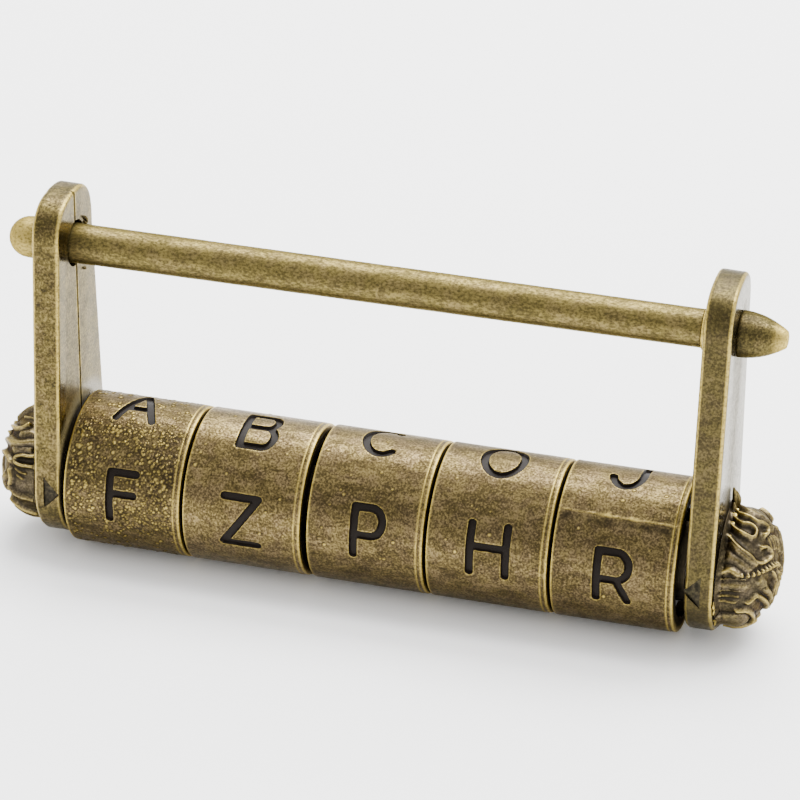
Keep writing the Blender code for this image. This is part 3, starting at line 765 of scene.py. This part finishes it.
def plate_outline():
    """Points (y, z) round a plate from its top, and the outward direction at each."""
    drop = DRUM_DROP + TOP_CENTRE
    lean = math.asin((FOOT_RADIUS - TOP_RADIUS) / drop)
    side = math.pi / 2 + lean
    straight = math.sqrt(drop**2 - (FOOT_RADIUS - TOP_RADIUS) ** 2)

    def stretch(length, first, last):
        return np.linspace(first, last, round(length / OUTLINE_STEP), endpoint=False)

    top = stretch(TOP_RADIUS * side, 0, side)
    down = stretch(straight, 0, 1)
    foot = stretch(FOOT_RADIUS * (math.pi - side), side, math.pi)
    turns = np.concatenate([top, np.full(len(down), side), foot])
    along = np.concatenate([np.zeros(len(top)), down, np.ones(len(foot))])
    radius = TOP_RADIUS + (FOOT_RADIUS - TOP_RADIUS) * along
    centre = TOP_CENTRE - drop * along
    powers = np.abs(np.sin(turns)) ** TOP_SQUARENESS + np.clip(np.cos(turns), 0, 1) ** TOP_SQUARENESS
    radius *= np.where(turns < math.pi / 2, powers ** (-1 / TOP_SQUARENESS), 1)
    half = np.stack([-radius * np.sin(turns), centre + radius * np.cos(turns)], axis=-1)
    away = np.stack([-np.sin(turns), np.cos(turns)], axis=-1)
    foot_point = [[0, centre[-1] - FOOT_RADIUS]]
    mirror = np.array([-1, 1])
    points = np.concatenate([half, foot_point, half[:0:-1] * mirror])
    return points, np.concatenate([away, [[0, -1]], away[:0:-1] * mirror])


def plate_stations():
    """(distance from the left face, inset) stations from face to face, over the rounded edges."""
    turns = np.linspace(0, math.pi / 2, 5)
    near = [(0, 1.8), (0, 1.2), (0, 0.8)]
    near += [(EDGE_ROUND * (1 - math.cos(t)), EDGE_ROUND * (1 - math.sin(t))) for t in turns]
    across = np.linspace(EDGE_ROUND, PLATE_THICKNESS - EDGE_ROUND, 9)[1:-1]
    return np.array(near + [(x, 0) for x in across] + [(PLATE_THICKNESS - x, i) for x, i in near[::-1]])


def plate_object(name, left, material, paint, seed, pitting, nicks=()):
    """A whole plate with rounded, slightly battered edges."""
    outline, away = plate_outline()
    stations = plate_stations()
    x, inset = repeated(stations, len(outline))
    flat = np.clip(inset / 0.8, 0, 1)
    base = np.dstack([x + left, *(np.tile(outline[:, k], (len(stations), 1)) for k in (0, 1))])
    wobble = 0.03 * lattice_noise(base, 1.6, seed) + 0.018 * lattice_noise(base, 0.6, seed + 1) - 0.045
    edge = bell(inset - 0.13, 0.2) * (inset > 0)
    wobble -= 0.05 * edge * (1 + lattice_noise(base, 0.9, seed + 2))
    for nick_x, nick_y, nick_z, size in nicks:
        gap = np.linalg.norm(base - (left + nick_x, nick_y, nick_z), axis=-1)
        wobble -= 0.7 * size * bell(gap, size)
    inset = inset - wobble * (1 - flat)
    points = outline[None] - away[None] * inset[..., None]
    solid = np.stack([x + left, points[..., 0], points[..., 1]], axis=-1).reshape(-1, 3)
    columns = len(outline)
    faces = grid_faces(len(stations), columns)
    faces.append(list(range(columns - 1, -1, -1)))
    faces.append([(len(stations) - 1) * columns + i for i in range(columns)])
    attributes = {"wear": 0.65 * edge, "pits": pitting * (1 - 0.7 * flat), "flat": flat}
    return recalculated(mesh_object(name, solid, faces, [material, paint], attributes, sharp=30))


def recalculated(obj):
    """The object with all its faces pointing out."""
    shape = bmesh.new()
    shape.from_mesh(obj.data)
    bmesh.ops.recalc_face_normals(shape, faces=shape.faces)
    shape.to_mesh(obj.data)
    shape.free()
    return obj


def cut(obj, *tools):
    """Takes the tools' shapes out of obj. A tool's material slot 1 stays on the faces that it cuts."""
    bpy.context.view_layer.objects.active = obj
    for tool in tools:
        modifier = obj.modifiers.new("cut", "BOOLEAN")
        modifier.operation = "DIFFERENCE"
        modifier.solver = "EXACT"
        modifier.object = tool
        bpy.ops.object.modifier_apply(modifier=modifier.name)
    for tool in tools:
        bpy.data.objects.remove(tool)
    obj.data.set_sharp_from_angle(angle=math.radians(30))


def prism_tool(corners, low, high, axis=1, painted=False):
    """A prism with these corners in the plane across the axis. painted marks its faces for slot 1."""
    count = len(corners)
    points = [list(corner) for corner in corners for _ in range(2)]
    for index, point in enumerate(points):
        point.insert(axis, (low, high)[index % 2])
    faces = [[2 * i, 2 * ((i + 1) % count), 2 * ((i + 1) % count) + 1, 2 * i + 1] for i in range(count)]
    faces += [[2 * i for i in range(count)], [2 * i + 1 for i in range(count)]]
    obj = recalculated(mesh_object("tool", points, faces, [None, None] if painted else []))
    for face in obj.data.polygons:
        face.material_index = int(painted)
    return obj


def turned_tool(profile, axis_z, steps=64):
    return turned("tool", profile, axis_z, [], steps)


def bore_tool(start, end, radius, axis_z=0, steps=64):
    return turned_tool([(start, radius), (end, radius)], axis_z, steps)


def turned(name, profile, axis_z, materials, steps=64, rough=0.0, seed=0, attributes=None):
    """Turns (x, radius) points round a line along X at this height, from pole to pole."""
    turns = np.arange(steps) * 2 * math.pi / steps
    x, radius = repeated(np.array(profile, float), steps)
    points = np.stack([x, radius * np.cos(turns), radius * np.sin(turns)], axis=-1)
    noise = lattice_noise(points, 1.5, seed) + 0.5 * lattice_noise(points, 0.6, seed + 1)
    radius -= rough * (1 + noise) * np.minimum(radius / 0.5, 1)
    points = np.stack([x, radius * np.cos(turns), radius * np.sin(turns) + axis_z], axis=-1).reshape(-1, 3)
    faces = grid_faces(len(profile), steps)
    faces.append(list(range(steps)))
    faces.append([(len(profile) - 1) * steps + i for i in range(steps - 1, -1, -1)])
    values = {key: np.repeat(value, steps) for key, value in (attributes or {}).items()}
    return recalculated(mesh_object(name, points, faces, materials, values, sharp=30))


def mark_tool(base_x, tip_x):
    """The triangle in a plate's front edge."""
    corners = [(base_x, DRUM_Z + MARK_HALF_HEIGHT), (base_x, DRUM_Z - MARK_HALF_HEIGHT), (tip_x, DRUM_Z)]
    return prism_tool(corners, -FOOT_RADIUS - 1, -FOOT_RADIUS + MARK_DEPTH, painted=True)


def seam_tool(left, inner, side):
    """All that lies past a half plate's seam, with small bevels along it. side is -1 for the front half."""
    face = side * SEAM / 2
    slope = (GROOVE_HALF_WIDTH - SEAM / 2) / GROOVE_DEPTH
    mouth = side * (GROOVE_HALF_WIDTH + slope)
    corners = [(left - 1, mouth), (left + GROOVE_DEPTH, face), (inner - GROOVE_DEPTH, face)]
    corners += [(inner + 1, mouth), (inner + 1, -20 * side), (left - 1, -20 * side)]
    return prism_tool(corners, -50, 20, axis=2)


def add_plates():
    paint = mark_paint()
    left_low, left_high = node_box("left_plate_front")
    right_low, right_high = node_box("right_plate")
    left, right = left_low[0], right_low[0]
    inner = left_high[0]
    material = plate_bronze("left_plate_bronze", LEFT_PLATE_SHADES, 0.9, inner)
    for half in ("front", "rear"):
        obj = plate_object(f"left_plate_{half}_half", left, material, paint, 11, 0.5)
        pocket = [(left + x, radius) for x, radius in FLANGE_POCKET] + [(inner + 1, FLANGE_POCKET[-1][1])]
        tools = [bore_tool(left - 1, inner + 1, BAR_HOLE), turned_tool(pocket, DRUM_Z)]
        if half == "front":
            tools.append(mark_tool(*(inner - away for away in LEFT_MARK)))
        tools.append(seam_tool(left, inner, -1 if half == "front" else 1))
        cut(obj, *tools)
        show(obj, "lock_body", "plate_bronze", f"left_plate_{half}")
    marks = [[(inner + away, y, z) for away, y, z in mark] for mark in STAKE_MARKS]
    add_strands("stake_marks", marks, 0.2, 0.0, "lock_body", "plate_bronze", material)
    material = plate_bronze("right_plate_bronze", RIGHT_PLATE_SHADES, 0.0, right)
    obj = plate_object("right_end_plate", right, material, paint, 23, 0.12, RIGHT_NICKS)
    bottom, end = right + SEAT_DEPTH, right_high[0] + 1
    seat = [(right - 1, SEAT_RADIUS), (bottom, SEAT_RADIUS), (bottom, STUD_HOLE), (end, STUD_HOLE)]
    mark = mark_tool(*(right + away for away in RIGHT_MARK))
    cut(obj, turned_tool(seat, DRUM_Z), bore_tool(right - 1, end, SPIGOT_BORE), mark)
    show(obj, "shackle", "plate_bronze", "right_plate")


def add_bar():
    material = bar_bronze()
    low, high = node_box("shackle_bar")
    left_low, left_high = node_box("left_plate_front")
    collar_low, collar_high = node_box("bar_collar")
    turns = np.linspace(0.04, math.pi / 2, 8)
    head = [(low[0] + HEAD_LENGTH * (1 - math.cos(t)), HEAD_RADIUS * math.sin(t)) for t in turns]
    start, end = left_high[0] - 0.6, collar_low[0] - 0.1
    body = [(x, BAR_RADIUS - BAR_TAPER * (x - start) / (end - start)) for x in np.linspace(start, end, 140)]
    rim = [(end + 0.12, 2.18), (end + 0.14, 1.6), (high[0], 1.6), (high[0], 0.02)]
    profile = head + [(left_low[0] - 0.2, 2.6), (left_low[0] + 0.4, 2.6), (start - 0.3, 2.5)] + body + rim
    counts = (len(head), len(profile) - len(head))
    looks = {"wear": (0.5, 0.05), "grime_and_shade": (0.28, 0.0), "pits": (1.0, 0.1)}
    attributes = {key: np.repeat(values, counts) for key, values in looks.items()}
    obj = turned("bar", profile, 0, [material], rough=0.012, seed=31, attributes=attributes)
    show(obj, "shackle", "bar_bronze", "shackle_bar")
    left, right, radius = collar_low[0], collar_high[0], collar_high[2]
    profile = [(left, 2.0), (left, radius - 0.2), (left + 0.06, radius - 0.07), (left + 0.2, radius)]
    profile += [(right - 0.15, radius), (right, radius - 0.1), (right, 2.0)]
    obj = turned("collar", profile, 0, [material], attributes={"wear": [0.9] * len(profile)})
    cut(obj, bore_tool(left - 1, right + 1, SPIGOT_BORE))
    show(obj, "shackle", "bar_bronze", "bar_collar")


def add_bar_tip():
    _, high = node_box("bar_tip")
    base, radius = node_box("right_plate")[1][0] + 0.03, high[2]
    length = high[0] - base
    along = np.linspace(0.02, 0.95, 26)
    body = [(base + length * a, radius * (1 - TIP_SHARE * a**TIP_TAPER)) for a in along]
    blunt = body[-1][1]
    end = [(base + 0.98 * length, 0.86 * blunt), (base + 0.995 * length, 0.6 * blunt), (high[0], 0.02)]
    profile = [(base, 1.95), (base, radius - 0.05), *body, *end]
    wear = [0.0, 0.0, *(0.75 * smooth_step(0.62, 0.95, along)), 0.9, 0.7, 0.6]
    # Painted shade: the tip is darker towards its base, where it meets the plate.
    grime_and_shade = [0.3, 0.3, *(0.3 * smooth_step(0.5, 0.0, along)), 0.0, 0.0, 0.0]
    material = bar_bronze("tip_bronze", 1.0, 0.72)
    obj = turned("bar_nut", profile, 0, [material], 96, 0.02, 37, {"wear": wear, "grime_and_shade": grime_and_shade})
    cut(obj, bore_tool(base - 1, node_box("shackle_bar")[1][0] + 0.3, SPIGOT_BORE))
    show(obj, "shackle", "bar_bronze", "bar_tip")


# Knobs: a dome with cast locks, scrolls and a rope on it.


def knob_profile(reach, radius):
    """(distance from the foot along the surface, height, radius) down a plain dome with a flange."""
    turns = np.linspace(math.pi / 2, 0, 240)
    height = np.concatenate([[0.0, 0.12, 0.6], 1.9 + (reach - 1.9) * np.cos(turns)])
    flange = [radius + FLANGE, radius + FLANGE - 0.2, radius - 0.1]
    wide = np.concatenate([flange, radius * np.sin(turns)])
    length = np.concatenate([[0], np.cumsum(np.hypot(np.diff(height), np.diff(wide)))])
    even = np.linspace(0, length[-1], KNOB_ROWS)
    return even, np.interp(even, length, height), np.interp(even, length, wide)


def knob_relief(kind, distance, along):
    """Height of one ornament line, at distances from it and along it."""
    if kind == "roll":
        return ROLL[0] * np.sqrt(np.clip(1 - (distance / ROLL[1]) ** 2, 0, 1))
    height, width = LINE_SIZES[kind]
    height = height * bell(distance, width)
    if kind == "crest":
        height += SKIRT[0] * bell(distance, SKIRT[1])
    if kind == "rope":
        height *= 0.6 + 0.4 * np.cos(2 * math.pi * along / BEAD)
    return height


def lock_loop(turn):
    """A hollow lock of hair round the back of a knob, as a kind and (turn, distance from the foot) points."""
    points = [(7, 0.7), (8, 2.0), (6, 3.6), (1, 4.4), (-4, 3.9), (-5, 2.9)]
    return ("crest", [(turn + a, v) for a, v in points])


def whorl(turn):
    """One curved arm of the whorl on a knob's end."""
    return ("crest", [(turn + 9 * k + 2.2 * k * k, 6.3 + 0.85 * k) for k in range(5)])


def ornament(lines, on_dome, surface):
    """How far the ornament's lines stand out at each place on a dome."""
    flat = surface.reshape(-1, 3)
    relief = np.zeros(len(flat))
    for kind, points in lines:
        turn, distance = smooth_line(points, 5).T
        line = on_dome(np.radians(turn), distance + FLANGE_RUN)
        _, gap, along = nearest_on_lines(flat, [line])
        relief = np.maximum(relief, knob_relief(kind, gap, along))
    return relief.reshape(surface.shape[:2])


def add_knob(name, node, away, dome_size, lines, body, material, seed):
    low, high = node_box(node)
    base = low[0] if away > 0 else high[0]
    run, height, wide = knob_profile(*dome_size)
    turns = np.arange(KNOB_COLUMNS) * 2 * math.pi / KNOB_COLUMNS

    def on_dome(turn, distance):
        h, r = np.interp(distance, run, height), np.interp(distance, run, wide)
        return round_axis(base + away * h, turn, r, DRUM_Z - KNOB_DROP)

    inner = run[:-1]
    surface = on_dome(turns, np.repeat(inner[:, None], KNOB_COLUMNS, axis=1))
    relief = ornament(lines, on_dome, surface)
    relief += 0.05 * lattice_noise(surface, 1.1, seed) + 0.03 * lattice_noise(surface, 0.4, seed + 1)
    outward = dome_normals(inner, run, height, wide, turns, away)
    fade = smooth_step(0, 0.5 + FLANGE_RUN, inner)[:, None]
    solid = surface + outward * (np.minimum(relief, KNOB_RELIEF) * fade)[..., None]
    around = blurred(relief, 5)
    patchy = 0.5 + 0.5 * lattice_noise(surface, 1.4, seed + 2)
    wear = np.clip(((relief - around) * 3.2 - 0.1) * (0.3 + 0.9 * patchy), 0, 0.7)
    hollow = (around - relief) * 5.5 + 0.25 * smooth_step(0.25, 0.05, relief)
    grime_and_shade = np.clip(hollow + 0.2 * (1 - patchy), 0, 0.9)
    faces = grid_faces(len(inner), KNOB_COLUMNS)
    pole = relief.size
    last = pole - KNOB_COLUMNS
    faces += [[last + i, last + (i + 1) % KNOB_COLUMNS, pole] for i in range(KNOB_COLUMNS)]
    faces.append(list(range(KNOB_COLUMNS)))
    points = np.vstack([solid.reshape(-1, 3), on_dome(np.zeros(1), run[-1:])])
    attributes = {"wear": np.append(wear, 0.3), "grime_and_shade": np.append(grime_and_shade, 0.3)}
    obj = recalculated(mesh_object(name, points, faces, [material], attributes, sharp=60))
    show(obj, body, "knob_bronze", node)


def smooth_line(path, density):
    """A smooth line through a path's points, with this many points for each of them (Catmull-Rom)."""
    path = np.array(path, float)
    steps = np.linspace(0, len(path) - 1, density * len(path))
    padded = np.vstack([2 * path[0] - path[1], path, 2 * path[-1] - path[-2]])
    index = np.minimum(steps.astype(int), len(path) - 2)
    t = (steps - index)[:, None]
    a, b, c, d = (padded[index + k] for k in range(4))
    bend = (2 * a - 5 * b + 4 * c - d) * t**2 + (3 * b - a - 3 * c + d) * t**3
    return 0.5 * (2 * b + (c - a) * t + bend)


def dome_normals(inner, run, height, wide, turns, away):
    """Outward directions over the dome's grid."""
    rise = np.interp(inner, run, np.gradient(height, run))[:, None]
    spread = np.interp(inner, run, np.gradient(wide, run))[:, None]
    return round_axis(np.repeat(-away * spread, len(turns), axis=1), turns, rise, 0)


def blurred(field, reach):
    """A field on a grid that joins up round its columns, averaged over a few cells."""
    shifts = range(-reach, reach + 1)
    total = sum(np.roll(field, shift, axis=1) for shift in shifts) / len(shifts)
    padded = np.pad(total, ((reach, reach), (0, 0)), mode="edge")
    return sum(padded[k : k + len(field)] for k in range(len(shifts))) / len(shifts)


# Ornament lines, each as its kind and (turn in degrees, distance from the knob's foot) points.
RIGHT_KNOB_LINES = (
    ("swell", [(112, 0.6), (102, 1.4), (97, 2.6), (98, 3.6), (102, 4.6), (103, 5.4)]),
    ("crest", [(93, 0.3), (86, 1.3), (84, 2.4), (82, 3.3), (86, 4.0), (87, 4.8), (81, 5.1), (73, 4.8)]),
    ("crest", [(84, 0.3), (77, 1.1), (73, 1.9), (74, 2.8), (70, 3.5), (63, 3.5), (60, 3.2)]),
    ("crest", [(72, 0.4), (66, 1.2), (62, 2.2), (60, 3.1)]),
    ("crest", [(57, 0.6), (46, 2.3), (42, 3.4), (37, 4.4), (39, 5.5), (49, 6.5), (58, 6.5), (60, 5.6),
               (55, 4.8)]),
    ("ridge", [(50, 1.2), (44, 2.1), (39, 3.2), (35, 4.3)]),
    ("swell", [(38, 1.2), (34, 2.4), (29, 3.6)]),
    ("rope", [(21, 2.9), (22, 4.0), (26, 5.4), (34, 7.1), (46, 8.4), (62, 9.6)]),
    ("ridge", [(23, 0.7), (25, 1.5), (22, 2.4)]),
    ("fine", [(15, 0.4), (17, 1.8), (17, 3.4)]),
    ("swell", [(9, 0.8), (11, 2.0), (10, 3.2)]),
    ("fine", [(3, 0.4), (5, 1.6), (5, 2.9)]),
    ("fine", [(-3, 0.4), (-1, 1.6), (-1, 2.7)]),
    ("fine", [(-9, 0.5), (-8, 1.4), (-8, 2.4)]),
    ("roll", [(-42, 0.1), (-38, 1.6), (-36, 2.6)]),
    ("crest", [(-17, 2.6), (-19, 3.5), (-29, 4.2), (-43, 4.4), (-56, 4.0)]),
    ("crest", [(-9, 3.8), (-4, 4.9), (-14, 5.9), (-34, 6.6), (-66, 6.5)]),
    ("ridge", [(-2, 6.6), (-20, 7.4), (-50, 7.6)]),
    ("crest", [(24, 7.9), (8, 8.7), (-22, 9.2)]),
    ("swell", [(14, 5.6), (6, 6.4)]),
    ("fine", [(76, 5.4), (72, 6.3), (66, 6.8)]),
    ("fine", [(82, 5.8), (82, 6.7), (76, 7.4)]),
    ("fine", [(89, 6.1), (92, 7.0), (87, 7.8)]),
    ("fine", [(98, 6.5), (104, 7.4), (101, 8.2)]),
    ("fine", [(107, 6.9), (115, 7.8), (112, 8.6)]),
    ("ridge", [(120, 5.9), (128, 7.2), (140, 8.4)]),
)

LEFT_KNOB_LINES = (
    ("ridge", [(104, 0.8), (100, 2.4), (96, 4.0), (94, 5.2)]),
    ("fine", [(74, 1.0), (77, 2.4), (82, 3.7)]),
    ("crest", [(66, 2.3), (62, 3.0), (64, 4.1), (72, 5.2), (82, 6.1)]),
    ("ridge", [(48, 0.6), (46, 1.8), (44, 2.9), (47, 4.3), (54, 5.8), (62, 7.2)]),
    ("crest", [(24, 3.8), (29, 4.6), (34, 5.8), (36, 7.2), (32, 8.2)]),
    ("crest", [(33, 0.4), (32, 1.3), (32, 2.2), (29, 3.0), (24, 2.9), (22, 2.1), (22, 0.5)]),
    ("fine", [(17, 3.0), (14, 2.3), (13, 1.6)]),
    ("fine", [(10, 2.7), (7, 2.0)]),
    ("crest", [(14, 3.8), (6, 3.5), (-3, 3.8)]),
    ("ridge", [(-10, 3.9), (-13, 2.8), (-15, 1.6), (-17, 0.6)]),
    ("crest", [(-28, 4.0), (-33, 2.9), (-38, 2.0), (-44, 1.0)]),
    ("ridge", [(2, 5.2), (-14, 6.2), (-30, 6.0)]),
    ("swell", [(38, 1.4), (38, 3.4)]),
    ("swell", [(56, 1.0), (56, 2.8)]),
    ("ridge", [(-62, 0.8), (-58, 2.4), (-50, 4.0)]),
)


def add_strands(name, paths, radius, wear, body, slot, material):
    """Tapered strands through (x, y, z) points that lie about across X, as one piece."""
    points, faces = [], []
    turns = np.arange(STRAND_SIDES)[:, None] * 2 * math.pi / STRAND_SIDES
    across = np.array((1.0, 0.0, 0.0))
    for path in paths:
        line = smooth_line(path, 6)
        side = np.cross(np.gradient(line, axis=0), across)
        side /= np.linalg.norm(side, axis=1)[:, None]
        thick = radius * np.sin(np.linspace(0.12, math.pi - 0.12, len(line))) ** 0.6
        ring = np.cos(turns) * side[:, None] + np.sin(turns) * across
        first = len(points)
        points += (line[:, None] + thick[:, None, None] * ring).reshape(-1, 3).tolist()
        faces += [[first + index for index in face] for face in grid_faces(len(line), STRAND_SIDES)]
        faces += [[end + k for k in range(STRAND_SIDES)] for end in (first, len(points) - STRAND_SIDES)]
    attributes = {"wear": [wear] * len(points), "grime_and_shade": [0.5 * (1 - wear)] * len(points)}
    obj = recalculated(mesh_object(name, points, faces, [material], attributes, sharp=60))
    show(obj, body, slot)


def add_knobs():
    material = knob_bronze()
    face = node_box("right_plate")[1][0]
    loose = (("right_tuft", TUFT, 0.34, 0.12), ("foot_burrs", FOOT_BURRS, 0.15, 0.9))
    for name, paths, radius, wear in loose:
        strands = [[round_axis(face + x, math.radians(t), r, DRUM_Z) for x, t, r in path] for path in paths]
        add_strands(name, strands, radius, wear, "shackle", "knob_bronze", material)
    lines = [*RIGHT_KNOB_LINES, *map(lock_loop, range(140, 300, 22)), *map(whorl, range(130, 330, 30))]
    add_knob("right_ornament", "right_knob", 1, RIGHT_DOME, lines, "shackle", material, 41)
    lines = [*LEFT_KNOB_LINES, *map(lock_loop, range(122, 290, 22)), *map(whorl, range(70, 330, 30))]
    add_knob("left_ornament", "left_knob", -1, LEFT_DOME, lines, "lock_body", material, 47)


# What the lock hides until it is pulled apart.


def dress_insides():
    """Gives the CAD pieces that stay their metals."""
    steel = ("turned_steel", (0.3, 0.29, 0.27), (0.52, 0.51, 0.49), (0.4, 8, 8), 0.26)
    brass = ("blackened_brass", (0.022, 0.018, 0.012), (0.06, 0.048, 0.028), (0.4, 8, 8), 0.36)
    spring = ("blued_spring_steel", (0.1, 0.1, 0.11), (0.22, 0.22, 0.24), (4, 4, 4), 0.3)
    looks = {"steel": steel, "tube_brass": brass, "spring_steel": spring}
    finishes = {slot: bright_metal(*look) for slot, look in looks.items()}
    for part in frame["record"]["subparts"]:
        for slot in frame["nodes"][part["node"]].material_slots:
            slot.material = finishes.get(part["material_slot"], slot.material)


# Stage.


def add_camera():
    side, drop, roll = CAMERA_AZIMUTH, CAMERA_DROP, CAMERA_ROLL
    forward = Vector((-math.sin(side) * math.cos(drop), math.cos(side) * math.cos(drop), -math.sin(drop)))
    level = Vector((math.cos(side), math.sin(side), 0))
    upright = level.cross(forward)
    right = level * math.cos(roll) + upright * math.sin(roll)
    up = right.cross(forward)
    camera = bpy.data.cameras.new("camera")
    camera.lens = CAMERA_LENS
    camera.sensor_width = 36
    camera.clip_start = 0.01
    obj = placed("camera", camera)
    obj.matrix_world = Matrix((right, up, -forward)).transposed().to_4x4()
    obj.location = Vector(CAMERA_PLACE) * MM
    bpy.context.scene.camera = obj


def add_floor(height):
    g = Graph(bpy.data.materials.new("pale_floor"))
    g.give("Base Color", g.ramp(g.noise(60.0), ((0.0, [0.88] * 3), (1.0, [0.91] * 3))))
    g.give("Roughness", 0.9)
    g.give("Specular IOR Level", 0.1)
    corners = [(x * FLOOR_REACH, y * FLOOR_REACH, height) for x, y in ((-1, -1), (1, -1), (1, 1), (-1, 1))]
    mesh_object("floor", corners, [(0, 1, 2, 3)], [g.material])


def add_light():
    light = bpy.data.lights.new("top_light", "AREA")
    light.shape = "RECTANGLE"
    light.size, light.size_y = LIGHT_SIZE
    light.energy = LIGHT_POWER
    obj = placed("top_light", light)
    obj.location = LIGHT_PLACE
    obj.rotation_euler = (Vector(LIGHT_TARGET) - Vector(LIGHT_PLACE)).to_track_quat("-Z", "Y").to_euler()


def add_world():
    """White light from behind the lock, and greyer light from its front."""
    world = bpy.data.worlds.new("studio")
    g = Graph(world, "Background")
    split = g.node("ShaderNodeSeparateXYZ", {"Vector": g.place.node.outputs["Generated"]})
    level = g.node("ShaderNodeMapRange", {"Value": split.outputs["Y"], "From Min": -1}).outputs["Result"]
    g.give("Color", g.ramp(level, ((0.1, (0.56, 0.555, 0.55)), (0.6, (1, 1, 1)))))
    g.give("Strength", WORLD_STRENGTH)
    bpy.context.scene.world = world


def main():
    add_camera()
    add_world()
    add_floor(cad_bounds[0][2] / MM - 0.02)
    add_light()
    add_rings()
    add_plates()
    add_bar()
    add_bar_tip()
    add_knobs()
    dress_insides()


main()
